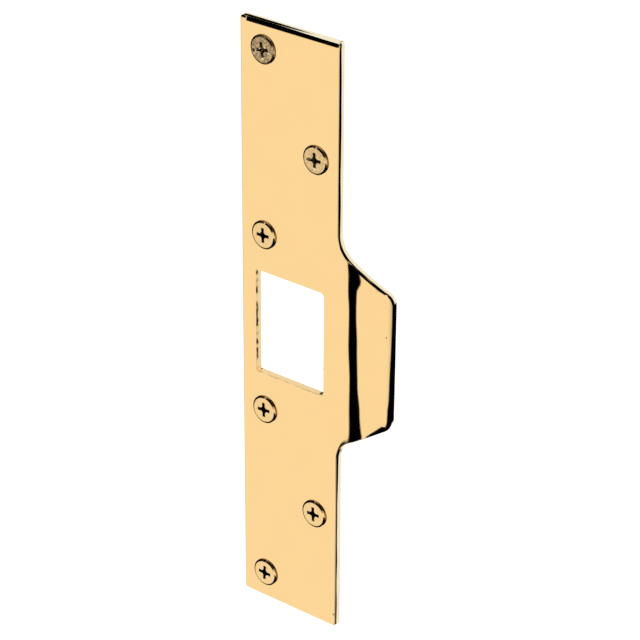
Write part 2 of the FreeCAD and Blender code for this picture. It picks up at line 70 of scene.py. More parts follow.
# %% Sizes in millimetres
HALF_WIDTH = -plate_low.x
HALF_HEIGHT = plate_high.z
THICKNESS = -plate_low.y
PLATE_CORNER = 0.9
ROLL_LENGTH, ROLL_START_RADIUS, ROLL_RADIUS = 2.2, 3.2, 11.4
LATCH_WIDTH, LATCH_HEIGHT, LATCH_CORNER, LATCH_HEEL_CORNER = 27.2, 36.0, 1.5, 0.4
LIP_REACH, LIP_ROOT, LIP_TIP = 19.15, 39.2, 19.7
ROOT_RADIUS, TIP_RADIUS = 8.8, 4.8
BEND_START, BEND_RADIUS, BEND_ANGLE = 3.8, 20.0, math.radians(10.0)
CURL_RADIUS = 75.0
print("sheet %.1f x %.1f x %.2f mm" % (2 * HALF_HEIGHT, 2 * HALF_WIDTH, THICKNESS))

# %% [markdown]
# ## The front line of the sheet
#
# Seen from above, the polished face is a straight line, then a tight bend, then a long gentle
# curl. The sheet could be modelled flat and bent with a modifier, but then its trimmed outline
# would drift. Bent sheet keeps its length, so the face is handled unrolled instead: `s` runs along
# the line, `z` runs up, and `unroll` turns a drawing's x into s.

# %% Unroll the front line
BEND_X = HALF_WIDTH + BEND_START
CURL_S = BEND_X + BEND_RADIUS * BEND_ANGLE
CURL_X = BEND_X + BEND_RADIUS * math.sin(BEND_ANGLE)


def unroll(x):
    if x <= BEND_X:
        return x
    if x <= CURL_X:
        return BEND_X + BEND_RADIUS * math.asin((x - BEND_X) / BEND_RADIUS)
    swing = math.asin(math.sin(BEND_ANGLE) + (x - CURL_X) / CURL_RADIUS)
    return CURL_S + CURL_RADIUS * (swing - BEND_ANGLE)


tip_s = unroll(HALF_WIDTH + LIP_REACH)
TIP_ANGLE = BEND_ANGLE + (tip_s - CURL_S) / CURL_RADIUS
print("the lip turns %.1f degrees back" % math.degrees(TIP_ANGLE))

# %% [markdown]
# ## The uneven bend
#
# A lip that is bent in a press over a short tool never bends quite evenly. The marks below say
# where the bend starts and how tight it is at a few heights. The eye reads them at once, because
# the bend mirrors a dark strip whose width follows the radius. Noise would give a random wobble,
# so the heights are listed one by one and eased from one to the next.

# %% Where the bend starts at each height
BEND_MARKS = [  # height, start of the bend from the plate's edge, radius
    (-33.0, 4.65, 29.0), (-26.0, 4.1, 35.0), (-19.0, 4.05, 31.5), (-9.0, 4.3, 23.8),
    (4.0, 3.7, 25.4), (15.0, 3.92, 21.0), (22.5, 3.4, 25.0), (27.0, 3.2, 36.0), (32.0, 3.1, 25.0),
]


def smooth_step(value, low, high):
    t = min(1.0, max(0.0, (value - low) / (high - low)))
    return t * t * (3 - 2 * t)


def bend_at(z):
    """Start and radius of the bend at a height, eased from one mark to the next."""
    if z <= BEND_MARKS[0][0]:
        return HALF_WIDTH + BEND_MARKS[0][1], BEND_MARKS[0][2]
    for (low, start_a, radius_a), (high, start_b, radius_b) in zip(BEND_MARKS, BEND_MARKS[1:]):
        if z <= high:
            t = smooth_step(z, low, high)
            return HALF_WIDTH + start_a + (start_b - start_a) * t, radius_a + (radius_b - radius_a) * t
    return HALF_WIDTH + BEND_MARKS[-1][1], BEND_MARKS[-1][2]


print("half way up the bend starts at %.2f mm, with a radius of %.1f mm" % bend_at(0.0))

# %% [markdown]
# ## From the flat blank to the formed sheet
#
# `on_sheet` puts a point at (s, z, depth) where it belongs in space, with depth measured into the
# metal. Everything that follows, from the outline to the holes, is drawn flat and goes through
# this one function, so all of it bends together and the sheet keeps its thickness.

# %% Put a point on the sheet
def on_sheet(s, z, depth):
    start, radius = bend_at(z)
    end = start + radius * BEND_ANGLE
    if s <= start:
        x, y, angle = s, -THICKNESS, 0.0
    elif s <= end:
        angle = (s - start) / radius
        x = start + radius * math.sin(angle)
        y = -THICKNESS + radius * (1 - math.cos(angle))
    else:
        curl = (tip_s - end) / (TIP_ANGLE - BEND_ANGLE)
        angle = BEND_ANGLE + (s - end) / curl
        x = start + radius * math.sin(BEND_ANGLE) + curl * (math.sin(angle) - math.sin(BEND_ANGLE))
        y = -THICKNESS + radius * (1 - math.cos(BEND_ANGLE))
        y += curl * (math.cos(BEND_ANGLE) - math.cos(angle))
    return Vector((x - depth * math.sin(angle), y + depth * math.cos(angle), z))


print("the tip of the lip lies at", [round(v, 2) for v in on_sheet(tip_s, 0.0, 0.0)])

# %% [markdown]
# ## The rolled ends
#
# The top and bottom ends were sheared, which rolls the face over before the cut: first quickly,
# then in a longer round. One corner was polished harder, so the roll is shorter there. A bevel
# modifier could not vary like this, so the roll is a depth that the face is lowered by.

# %% The roll at the ends
ROLL_START, BOTTOM_ROLL = 0.42, 0.8
POLISHED_CORNER, CORNER_ROLL = -HALF_WIDTH + 2.2, 0.7


def roll_off(s, z):
    """How far the face has rolled back near the sheared top and bottom ends."""
    if z < 0:
        length = BOTTOM_ROLL
    else:
        length = ROLL_LENGTH
        length -= CORNER_ROLL * (1 - smooth_step(s, POLISHED_CORNER - 0.06, POLISHED_CORNER + 0.06))
    over = abs(z) - (HALF_HEIGHT - length)
    if over <= 0:
        return 0.0
    if over <= ROLL_START:
        return over ** 2 / (2 * ROLL_START_RADIUS)
    quick = ROLL_START ** 2 / (2 * ROLL_START_RADIUS)
    further = over - ROLL_START
    return quick + further * ROLL_START / ROLL_START_RADIUS + further ** 2 / (2 * ROLL_RADIUS)


print("the ends roll back %.2f mm" % roll_off(0, HALF_HEIGHT))

# %% [markdown]
# ## The outline of the blank
#
# The outline is straight runs joined by round corners. A curve object could draw it, but its
# points would be hard to match with the walls. `walk` samples such a path instead: each corner is
# given by its centre, radius and the angles where it starts and ends, and the straight runs come
# by themselves between one corner and the next.

# %% Corners and straight runs
STEP = 0.8
QUARTER = math.pi / 2


def arc(centre, radius, start, end, step=0.35):
    count = max(4, int(abs(end - start) * radius / step))
    angles = [start + (end - start) * i / count for i in range(count + 1)]
    return [(centre[0] + radius * math.cos(a), centre[1] + radius * math.sin(a)) for a in angles]


def walk(corners):
    """A closed line of points through the corners, with the straight runs divided evenly."""
    points = []
    for corner in corners:
        if points:
            points += between(points[-1], corner[0])
        points += corner
    return points + between(points[-1], points[0])


def between(a, b):
    count = int(math.dist(a, b) / STEP)
    return [(a[0] + (b[0] - a[0]) * i / count, a[1] + (b[1] - a[1]) * i / count) for i in range(1, count)]


print("a quarter round of 5 mm has", len(arc((0, 0), 5.0, 0, QUARTER)), "points")

# %% [markdown]
# The blank is cut out in one stroke: the long plate, two root rounds that lead out to the lip
# and two rounder corners at its tip. The slanted runs touch both rounds, so their slope follows
# from the radii and is worked out, not guessed.

# %% Outline of the plate and of the latch hole
def plate_outline():
    root = (HALF_WIDTH + ROOT_RADIUS, LIP_ROOT)
    tip = (HALF_WIDTH + LIP_REACH - TIP_RADIUS, LIP_TIP)
    run = (tip[0] - root[0], tip[1] - root[1])
    slope = math.atan2(run[1], run[0]) + math.asin((ROOT_RADIUS + TIP_RADIUS) / math.hypot(*run))
    leave = slope - QUARTER
    w, h, c = HALF_WIDTH - PLATE_CORNER, HALF_HEIGHT - PLATE_CORNER, PLATE_CORNER
    corners = [
        arc((-w, h), c, 2 * QUARTER, QUARTER, 0.15),
        arc((w, h), c, QUARTER, 0, 0.15),
        arc(root, ROOT_RADIUS, math.pi, 2 * math.pi + leave),
        arc(tip, TIP_RADIUS, leave + math.pi, 0),
        arc((tip[0], -tip[1]), TIP_RADIUS, 0, -leave - math.pi),
        arc((root[0], -root[1]), ROOT_RADIUS, -leave, math.pi),
        arc((w, -h), c, 0, -QUARTER, 0.15),
        arc((-w, -h), c, -QUARTER, -2 * QUARTER, 0.15),
    ]
    return [(unroll(x), z) for x, z in walk(corners)]


def latch_window():
    """The latch hole: its corners are rounder towards the lip."""
    w, h, toe, heel = LATCH_WIDTH / 2, LATCH_HEIGHT / 2, LATCH_CORNER, LATCH_HEEL_CORNER
    return walk([
        arc((heel - w, h - heel), heel, 2 * QUARTER, QUARTER, 0.1),
        arc((w - toe, h - toe), toe, QUARTER, 0, 0.2),
        arc((w - toe, toe - h), toe, 0, -QUARTER, 0.2),
        arc((heel - w, heel - h), heel, -QUARTER, -2 * QUARTER, 0.1),
    ])


outline = plate_outline()
window = latch_window()
print("outline has %d points, latch window %d" % (len(outline), len(window)))

# %% [markdown]
# An edge that was eased or worn is the same line again, moved inwards by a distance that changes
# along it. `inset` moves each point square to the line, which keeps the points matched one to one
# with those of the outline.

# %% Move a line inwards
def inset(points, distances):
    """The line moved to its right-hand side: inwards on a line that runs clockwise."""
    moved = []
    for number, (point, distance) in enumerate(zip(points, distances)):
        before, after = Vector(points[number - 1]), Vector(points[(number + 1) % len(points)])
        along = (after - before).normalized()
        moved.append((point[0] + along.y * distance, point[1] - along.x * distance))
    return moved


corner_before, corner_after = outline[0], inset(outline, [1.0] * len(outline))[0]
print("1 mm in, the first point moves %.2f mm" % math.dist(corner_before, corner_after))

# %% [markdown]
# ## The screws' places
#
# Each screw stands a degree or two out of true, as screws driven by hand do. The places could be
# typed in again, but the record that came with the frame gives the shank of every screw, its place
# and its axis, so the holes and the screws are set out from there and stay with the CAD model.

# %% Read the screws from the record
HEAD_RADIUS, HEAD_RIM, HEAD_ANGLE, HEAD_PROUD = 4.7, 0.4, math.radians(82.0), 0.6
BEVEL_WIDTH, BEVEL_DEPTH = 0.66, 0.36
SHANK_RADIUS, SCREW_LENGTH = 2.415, 12.7
HOLE_CLEARANCE, SEAT_CLEARANCE, SIDE_INSET = 0.25, 0.03, 8.85


def read_screws():
    places = []
    for mount in frame["record"]["mounts"]:
        if mount["kind"] != "pin":
            continue
        axis = Vector(mount["axis"]).normalized()
        lean = math.acos(axis.y)
        lift = HEAD_PROUD + HEAD_RADIUS * math.sin(lean)
        middle = Vector(mount["pos_m"]) / MM
        head = middle - axis * ((middle.y + THICKNESS + lift) / axis.y)
        places.append((mount["name"], head, axis))
    return places


screw_places = read_screws()
for name, head, axis in screw_places:
    print(name, "head at", [round(v, 2) for v in head], "leans %.1f deg" % math.degrees(math.acos(axis.y)))

# %% [markdown]
# ## Filling the face
#
# The face has a long outline and seven holes in it. Filling it by hand with quads would be slow,
# so a constrained triangulation does it: it joins a field of points and keeps every outline as an
# edge. The field is closer where the sheet bends or rolls off, because a mirror finish shows every
# flat spot there, and wide where the face is flat.

# %% The field of points
COLUMN_STEP, BEND_STEP, LIP_STEP = 1.6, 0.35, 0.6


def field(step_z):
    """Points on the sheet, close together at the bend and where the ends roll off."""
    first, last = HALF_WIDTH + 3.0, HALF_WIDTH + 10.5
    columns = list(np.arange(-HALF_WIDTH, first - 0.01, COLUMN_STEP))
    columns += list(np.arange(first, last, BEND_STEP)) + list(np.arange(last, tip_s, LIP_STEP))
    columns += [-HALF_WIDTH + 0.3 * i for i in range(1, 7)]
    columns += [POLISHED_CORNER + i for i in (-0.06, 0.06, 0.4)]
    flat_end = HALF_HEIGHT - ROLL_LENGTH
    rows = list(np.arange(-flat_end, flat_end + 0.01, step_z))
    rows += [sign * (flat_end + over) for sign in (-1, 1) for over in (0.14, 0.28, 0.42)]
    rows += [sign * (flat_end + ROLL_START + i * 0.26) for sign in (-1, 1) for i in range(1, 9)]
    return np.array([(s, z) for s in columns for z in rows])


print("the field for the face has", len(field(1.2)), "points")

# %% [markdown]
# Points outside the rim or inside a hole are dropped, and so are points that crowd an outline.
# What is left is triangulated, and the triangles that bridge a hole are thrown away.

# %% Fill a region between outlines
CROWDED = 0.25


def inside(points, loop):
    """Which points lie inside a closed line, by counting crossings."""
    x, y = points[:, 0], points[:, 1]
    hit = np.zeros(len(points), bool)
    for (ax, ay), (bx, by) in zip(loop, loop[1:] + loop[:1]):
        if ay == by:
            continue
        crosses = (ay > y) != (by > y)
        hit ^= crosses & (x < (bx - ax) * (y - ay) / (by - ay) + ax)
    return hit


def clear_of(points, loop):
    line = np.array(loop)
    keep = np.ones(len(points), bool)
    for start in range(0, len(points), 2000):
        part = points[start:start + 2000]
        gap = np.hypot(part[:, None, 0] - line[None, :, 0], part[:, None, 1] - line[None, :, 1])
        keep[start:start + 2000] = gap.min(axis=1) > CROWDED
    return keep


def fill(rim, holes, step_z):
    """Triangles over the region inside the rim and outside the holes, as (points, triangles)."""
    points = field(step_z)
    points = points[inside(points, rim) & clear_of(points, rim)]
    for hole in holes:
        points = points[~inside(points, hole) & clear_of(points, hole)]
    edges, verts = [], []
    for loop in [rim] + holes:
        first = len(verts)
        verts += loop
        edges += [(first + i, first + (i + 1) % len(loop)) for i in range(len(loop))]
    verts += [tuple(p) for p in points]
    result = geometry.delaunay_2d_cdt([Vector(v) for v in verts], edges, [], 0, 1e-5)
    where, triangles = np.array([tuple(v) for v in result[0]]), result[2]
    centres = np.array([where[list(t)].mean(axis=0) for t in triangles])
    keep = inside(centres, rim)
    for hole in holes:
        keep &= ~inside(centres, hole)
    return [tuple(p) for p in where], [t for t, kept in zip(triangles, keep) if kept]


print("a trial fill of the blank has", len(fill(outline, [window], 20.0)[1]), "triangles")

# %% [markdown]
# ## The edge of the sheet
#
# A sheared edge is not a plain square edge, and on polished brass it shows. From the face inwards
# there are up to four stretches:
#
# - a fall, where the buffing wheel wore the face down towards the edge, widest at the lip's lower
#   corner;
# - a break, the small round or flat that takes the sharpness off;
# - the burnished part of the cut, which leans in by a few degrees;
# - the torn part below it, which stands square.
#
# Each point of the outline gets its own widths for these, as smooth functions of where it is. The
# break is a small round, except at the lip and along the right part of the top, where it was filed
# flat; those are given below as width and depth.

# %% How the edge is shaped along the outline
EASE, BOTTOM_EASE, SHARP_EASE = 0.2, 0.06, 0.012
FALL_RADIUS = 11.0
CORNER_FALL, CORNER_DROP = 3.1, 0.28
FOOT_FALL, FOOT_DROP = 3.0, 0.1
LIP_BREAK, END_BREAK, TOP_BREAK = (0.26, 0.20), (0.22, 0.62), (0.36, 0.42)
SIDE_LEAN, TOP_LEAN = 0.135, 0.16


def wander(s, z, period, seed):
    """A slow, repeatable variation between about -1 and 1."""
    return 1.6 * noise.noise(Vector((s / period, z / period, seed)))


def at_lip_end(s, z):
    """1 on the end of the lip, 0 on the sides of it."""
    return smooth_step(s, tip_s - 4.0, tip_s - 1.2) * smooth_step(z, -19.2, -15.5)


print("the end of the lip counts as such at its middle: %.1f" % at_lip_end(tip_s, 0.0))

# %% [markdown]
# `edge_at` blends the stretches: worn wide at the lip's lower corner, a long soft fall where the
# lower root runs into the lip, filed flat along the lip and the top, and barely broken at the
# bottom. Painting such wear as a texture would not bend the reflections, so it is real shape.

# %% Mix the stretches at a point of the outline
def edge_at(s, z):
    """Fall width and drop, break width and depth, how flat the break is, lean, depth of the lean."""
    end = at_lip_end(s, z)
    lip = smooth_step(s, HALF_WIDTH + 2.0, HALF_WIDTH + 7.0)
    right = smooth_step(s, HALF_WIDTH - 0.7, HALF_WIDTH - 0.1)
    top = smooth_step(z, HALF_HEIGHT - 0.7, HALF_HEIGHT - 0.1)
    upper = smooth_step(z, -2.0, 8.0)

    corner = smooth_step(s, unroll(28.5), unroll(35.5)) * smooth_step(-z, 12.0, 19.5)
    end_fall = end * (0.3 + 0.6 * smooth_step(-z, -16.0, 14.0)) * (1 - corner)
    foot = smooth_step(s, HALF_WIDTH - 0.5, HALF_WIDTH + 6.0)
    foot *= (1 - smooth_step(s, unroll(27.5), unroll(31.0))) * (1 - upper)
    side = 1 - 0.5 * smooth_step(s, tip_s - 3.0, tip_s - 0.3)
    fall = CORNER_FALL * corner * side + end_fall + FOOT_FALL * foot
    drop = CORNER_DROP * corner * side + end_fall ** 2 / (2 * FALL_RADIUS) + FOOT_DROP * foot

    width = EASE + lip * upper * (1 - end) * LIP_BREAK[0] + END_BREAK[0] * end
    depth = EASE + lip * upper * (1 - end) * LIP_BREAK[1] + END_BREAK[1] * end
    flat = max(end, lip * upper, corner)
    across = smooth_step(s, -8.0, HALF_WIDTH - 3.0)
    bottom = smooth_step(-z, HALF_HEIGHT - 0.7, HALF_HEIGHT - 0.1)
    width -= bottom * (EASE - BOTTOM_EASE)
    depth -= bottom * (EASE - BOTTOM_EASE)
    width += top * (1 - right) * (TOP_BREAK[0] * across - EASE + SHARP_EASE)
    depth += top * (1 - right) * (TOP_BREAK[1] * across - EASE + SHARP_EASE)
    flat = max(flat, top * (1 - right) * across)

    faint = smooth_step(-z, 45.0, 60.0)
    side_lean = SIDE_LEAN + 0.025 * wander(s, z, 23.0, 3.0) - 0.05 * faint
    lean = right * (1 - end) * (1 - lip * (1 - upper)) * side_lean
    reach = 1.0 + 0.2 * wander(s, z, 11.0, 7.0) - 0.25 * lip - 0.3 * faint
    lean += top * (1 - right) * TOP_LEAN * (1 - across)
    reach = reach * (1 - top) + top * (1.0 - 0.4 * across)
    return fall, drop, width, depth, flat, lean, reach


print("edge half way up the right side:", [round(v, 2) for v in edge_at(HALF_WIDTH, 70.0)])

# %% [markdown]
# The stretches become rings of points, each ring a copy of the outline that lies a little further
# out and deeper. Where two stretches meet at an angle the ring is creased, so that each of them
# keeps its own clean reflection and the flat face stays a true mirror.

# %% Rings from the face into the wall
FALL_RINGS, BREAK_RINGS, WINDOW_RINGS = 6, 7, 5


def ring(sheet, loop, distances, depths):
    moved = inset(loop, distances)
    places = [sheet.at(s, z, depth + roll_off(s, z)) for (s, z), depth in zip(moved, depths)]
    return moved, places


def outline_rings(sheet):
    """Rings of the outer edge: the fall, the break and the foot of the leaning part."""
    shapes = [edge_at(s, z) for s, z in outline]
    rings = []
    for k in range(FALL_RINGS):
        left = 1 - k / FALL_RINGS
        distances = [(fall + 0.02) * left + width + lean for fall, _, width, _, _, lean, _ in shapes]
        depths = [drop * (1 - left) ** 2 for _, drop, *_ in shapes]
        rings.append(ring(sheet, outline, distances, depths))
    for k in range(BREAK_RINGS + 1):
        share, a = k / BREAK_RINGS, QUARTER * k / BREAK_RINGS
        distances, depths = [], []
        for _, drop, width, depth, flat, lean, _ in shapes:
            in_plane = flat * (1 - share) + (1 - flat) * (1 - math.sin(a))
            downwards = flat * share + (1 - flat) * (1 - math.cos(a))
            distances.append(width * in_plane + lean)
            depths.append(drop + depth * downwards)
        rings.append(ring(sheet, outline, distances, depths))
    feet = [max(reach, depths[i] + 0.1) for i, (*_, reach) in enumerate(shapes)]
    rings.append(ring(sheet, outline, [0.0] * len(outline), feet))
    return rings


print("rings round the plate:", FALL_RINGS + BREAK_RINGS + 2)

# %% [markdown]
# The latch hole was punched and only lightly eased. Its left wall leans here and there, which shows
# as a broken dark line, and its lower edge is chipped in a few places. One slow noise for the ease
# and one quick noise for the lean give both.

# %% Rings of the latch hole
def window_rings(sheet):
    """Rings of the latch hole's front edge, which is uneven at the left and the bottom."""
    eases, leans = [], []
    for s, z in window:
        left = 1 - smooth_step(s, -LATCH_WIDTH / 2, -LATCH_WIDTH / 2 + 0.8)
        low = smooth_step(-z, LATCH_HEIGHT / 2 - 0.8, LATCH_HEIGHT / 2) * (1 - left)
        ease = max(0.008, 0.05 * wander(s, z, 2.5, 5.0))
        ease += left * (0.05 + 0.03 * wander(s, z, 1.6, 9.0))
        ease += low * max(0.0, 0.05 + 0.14 * wander(s, z, 2.2, 6.0))
        eases.append(ease)
        leans.append(left * max(0.0, 0.014 + 0.08 * wander(s, z, 0.55, 4.0)))
    rings = []
    for k in range(WINDOW_RINGS + 1):
        a = QUARTER * k / WINDOW_RINGS
        distances = [-ease * (1 - math.sin(a)) - lean for ease, lean in zip(eases, leans)]
        rings.append(ring(sheet, window, distances, [ease * (1 - math.cos(a)) for ease in eases]))
    feet = [1.0 + 0.35 * wander(s, z, 1.1, 2.0) for s, z in window]
    rings.append(ring(sheet, window, [0.0] * len(window), feet))
    return rings


print("rings round the latch hole:", WINDOW_RINGS + 2)

# %% [markdown]
# ## Putting the sheet together
#
# Face, edges, walls and back share their points, so the piece is one closed skin with the real
# thickness of the metal. A thickened plane would be quicker, but its rim could not have a fall, a
# break and a leaning cut. `Sheet` collects the faces: it makes each point once, remembers its
# place, and knows which lines have to stay crisp.

# %% A skin that shares its points
FACE, EDGE, HOLE_WALL, BACK = range(4)


class Sheet:
    """Collects the faces of the strike plate, in millimetres."""

    def __init__(self):
        self.mesh = bmesh.new()
        self.found = {}
        self.creases = []

    def at(self, s, z, depth):
        place = on_sheet(s, z, depth)
        key = tuple(round(v, 4) for v in place)
        if key not in self.found:
            self.found[key] = self.mesh.verts.new(place * MM)
        return self.found[key]

    def face(self, corners, finish):
        if len(set(corners)) < 3:
            return
        made = self.mesh.faces.new(corners)
        made.material_index = finish
        made.smooth = True

    def cover(self, region, depth_at, finish, facing_front):
        where, triangles = region
        for triangle in triangles:
            corners = [self.at(*where[i], depth_at(*where[i])) for i in triangle]
            self.face(corners if facing_front else corners[::-1], finish)

    def band(self, upper, lower, finishes):
        """A strip of quads from one ring of points down to the next."""
        for i in range(len(upper)):
            j = (i + 1) % len(upper)
            finish = finishes[i] if isinstance(finishes, list) else finishes
            self.face([upper[i], upper[j], lower[j], lower[i]], finish)

    def crease(self, points):
        self.creases += [(a, b) for a, b in zip([points[-1]] + points, points) if a != b]

    def finish(self, sharp_turn):
        bmesh.ops.recalc_face_normals(self.mesh, faces=self.mesh.faces)
        for edge in self.mesh.edges:
            if len(edge.link_faces) == 2 and edge.calc_face_angle(0) > sharp_turn:
                edge.smooth = False
        for a, b in self.creases:
            edge = self.mesh.edges.get((a, b))
            if edge:
                edge.smooth = False
        return self.mesh


print("finishes of the sheet:", BACK + 1)

# %% [markdown]
# The screw holes are countersunk: a cone down to a straight bore. The cone's mouth is as wide as
# the head where it meets the face, with a small clearance, so each head sits in its seat and
# stands a little proud. Six circles serve as holes for the face, six smaller ones for the back.

# %% Join face, edges, holes and back
HOLE_SIDES = 72
FRONT_STEP, BACK_STEP = 1.2, 2.4
FILED_FROM = -4.0  # the top edge is filed from here to the right
CRISP_TURN = 24  # faces that meet at more than this many degrees stay crisp


def circle(centre, radius):
    turns = [-2 * math.pi * i / HOLE_SIDES for i in range(HOLE_SIDES)]
    return [(centre[0] + radius * math.cos(a), centre[1] + radius * math.sin(a)) for a in turns]


def make_sheet():
    sheet = Sheet()
    front, latch = outline_rings(sheet), window_rings(sheet)
    half_angle = HEAD_ANGLE / 2
    seat = HEAD_RADIUS - (HEAD_PROUD - HEAD_RIM) * math.tan(half_angle)
    seat += SEAT_CLEARANCE / math.cos(half_angle)
    bore = SHANK_RADIUS + HOLE_CLEARANCE
    centres = [(math.copysign(HALF_WIDTH - SIDE_INSET, head.x), head.z) for _, head, _ in screw_places]
    mouths, bores = [circle(c, seat) for c in centres], [circle(c, bore) for c in centres]

    sheet.cover(fill(front[0][0], [latch[0][0]] + mouths, FRONT_STEP), roll_off, FACE, True)
    filed = [EDGE if z > HALF_HEIGHT - 0.5 and s > FILED_FROM else FACE for s, z in outline]
    for number, ((_, upper), (_, lower)) in enumerate(zip(front, front[1:])):
        sheet.band(upper, lower, filed if number >= FALL_RINGS else FACE)
    for (_, upper), (_, lower) in zip(latch, latch[1:]):
        sheet.band(upper, lower, HOLE_WALL)
    for rings in (front[FALL_RINGS:], latch):
        sheet.crease(rings[0][1])
        sheet.crease(rings[-1][1])
    sheet.crease(front[-2][1])
    sheet.crease(latch[-2][1])
    for loop, rings, finish in ((outline, front, EDGE), (window, latch, HOLE_WALL)):
        sheet.band(rings[-1][1], [sheet.at(s, z, THICKNESS) for s, z in loop], finish)
    for mouth, narrow in zip(mouths, bores):
        throat = [sheet.at(s, z, (seat - bore) / math.tan(half_angle)) for s, z in narrow]
        sheet.band([sheet.at(s, z, 0.0) for s, z in mouth], throat, HOLE_WALL)
        sheet.band(throat, [sheet.at(s, z, THICKNESS) for s, z in narrow], HOLE_WALL)
    back = fill(outline, [window] + bores, BACK_STEP)
    sheet.cover(back, lambda s, z: THICKNESS, BACK, False)
    return sheet.finish(math.radians(CRISP_TURN))


plate_mesh = make_sheet()
open_edges = sum(1 for e in plate_mesh.edges if len(e.link_faces) != 2)
print("sheet: %d faces, %d open edges" % (len(plate_mesh.faces), open_edges))

# %% [markdown]
# The skin becomes an object that takes the place of the plain CAD plate. It rides on the same body,
# and every later piece is added with the same short helper.

# %% The plate takes the place of the CAD node
def new_piece(name, mesh_data):
    piece = bpy.data.objects.new(name, mesh_data)
    bpy.context.scene.collection.objects.link(piece)
    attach(piece, "root")
    return piece


plate_data = bpy.data.meshes.new("formed_strike_plate")
plate_mesh.to_mesh(plate_data)
plate_mesh.free()
plate = new_piece("formed_strike_plate", plate_data)
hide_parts("strike_plate")
print(plate.name, "has", len(plate_data.vertices), "points")

# %% [markdown]
# ## The wood screws
#
# A wood screw is upset and rolled from wire: a flat head with a cone under it, a neck, and a
# thread that runs out to a sharp point. A screw modifier could wind a profile, but it would leave
# the thread's ends open. Here the screw is one grid of rings about its axis, and on the shank the
# radius also depends on the angle, which winds the thread round and lets it fade out at both ends.

# %% Screw sizes and the thread
NECK_FLARE, NECK_LENGTH, POINT_LENGTH, POINT_RADIUS = 0.12, 0.6, 4.2, 0.3
PITCH, ROOT_DEPTH, THREAD_START, THREAD_FADE, RIDGE = 1.95, 0.62, 4.3, 1.2, 0.24
RECESS_WIDTH, RECESS_FLOOR, RECESS_DEPTH, RECESS_SLOT, RECESS_CORE = 5.0, 2.0, 2.1, 1.15, 2.3
THREAD_RADIUS = SHANK_RADIUS - 0.02
FLAT_RADIUS = 2.9
SEGMENTS = 96
HEAD, RIM, RECESS, THREAD = range(4)
SCREW_TURNS = {  # how far each cross is turned from upright, in degrees
    "screw_top_left": 9.0, "screw_upper_right": 3.0, "screw_upper_left": 2.5,
    "screw_lower_left": 3.5, "screw_lower_right": 3.0, "screw_bottom_left": -1.5,
}


def screw_radius(depth, angle):
    """Radius of the threaded part at a depth below the head's top."""
    taper = min(1.0, max(0.0, (SCREW_LENGTH - depth) / POINT_LENGTH))
    crest = POINT_RADIUS + (THREAD_RADIUS - POINT_RADIUS) * taper
    fade = min(1.0, max(0.0, (depth - THREAD_START) / THREAD_FADE)) * min(1.0, taper * 1.6 + 0.15)
    along = (depth / PITCH - angle / (2 * math.pi)) % 1.0
    ridge = max(0.0, 1 - abs(along - 0.5) / RIDGE)
    return crest - ROOT_DEPTH * fade * taper ** 0.5 * (1 - ridge)


print("thread: crest %.2f mm, root %.2f mm" % (screw_radius(7.8, 0.0), screw_radius(7.0, 0.0)))

# %% [markdown]
# The head's front edge is turned off at a slant, and that bevel is what shows as a thin ring from
# the front. It is narrower where the head was worn, so its inner line wanders a little.

# %% Rings of the screw
BEVEL_WEAR, BEVEL_WANDER = 0.19, 0.05
RINGS_PER_TURN = 12


def bevel_line(seed):
    """Inner radius of the bevel all round: turned by machine, then worn a little."""
    radii = []
    for i in range(SEGMENTS):
        a = 2 * math.pi * i / SEGMENTS
        wear = noise.noise(Vector((math.cos(a) * 1.3, math.sin(a) * 1.3, seed)))
        width = BEVEL_WIDTH - BEVEL_WEAR * max(0.0, math.cos(a - 0.1)) + BEVEL_WANDER * wear
        radii.append(HEAD_RADIUS - width)
    return radii


def screw_rings(seed):
    cone = (HEAD_RADIUS - SHANK_RADIUS - NECK_FLARE) / math.tan(HEAD_ANGLE / 2)
    neck = HEAD_RIM + cone
    rings = [(0.0, [FLAT_RADIUS] * SEGMENTS), (0.0, bevel_line(seed))]
    plain = [
        (BEVEL_DEPTH, HEAD_RADIUS), (HEAD_RIM, HEAD_RADIUS),
        (neck, SHANK_RADIUS + NECK_FLARE), (neck + NECK_LENGTH, THREAD_RADIUS),
    ]
    rings += [(depth, [radius] * SEGMENTS) for depth, radius in plain]
    depth = max(neck + NECK_LENGTH + 0.15, THREAD_START)
    while depth < SCREW_LENGTH - 0.02:
        angles = [2 * math.pi * i / SEGMENTS for i in range(SEGMENTS)]
        rings.append((depth, [screw_radius(depth, a) for a in angles]))
        depth += PITCH / RINGS_PER_TURN
    return rings


print("a screw has", len(screw_rings(0.0)), "rings of", SEGMENTS, "points")

# %% [markdown]
# The rings are joined by quads and closed at the top and at the point by fans of triangles. Closed
# matters: the recess is cut in a moment, and a cut only works on a solid.

# %% Blank of the screw
def screw_body(seed):
    mesh = bmesh.new()
    loops = []
    for depth, radii in screw_rings(seed):
        loop = []
        for i, radius in enumerate(radii):
            a = 2 * math.pi * i / SEGMENTS
            loop.append(mesh.verts.new(Vector((radius * math.cos(a), depth, radius * math.sin(a))) * MM))
        loops.append(loop)
    top = mesh.verts.new((0, 0, 0))
    tip = mesh.verts.new((0, SCREW_LENGTH * MM, 0))
    for i in range(SEGMENTS):
        j = (i + 1) % SEGMENTS
        mesh.faces.new([top, loops[0][j], loops[0][i]])
        mesh.faces.new([tip, loops[-1][i], loops[-1][j]])
        for upper, lower in zip(loops, loops[1:]):
            mesh.faces.new([upper[i], upper[j], lower[j], lower[i]])
    bmesh.ops.recalc_face_normals(mesh, faces=mesh.faces)
    return mesh


trial = screw_body(0.0)
print("a blank has", len(trial.faces), "faces")
trial.free()

# %% [markdown]
# The cross recess is pressed into the head with a punch: two tapered blades at right angles and a
# short cone where they cross. The punch is modelled, and the recess follows from it.

# %% The recess punch
BLADE_TAPER, PUNCH_LID, PUNCH_POINT = 0.82, -1.0, 1.25


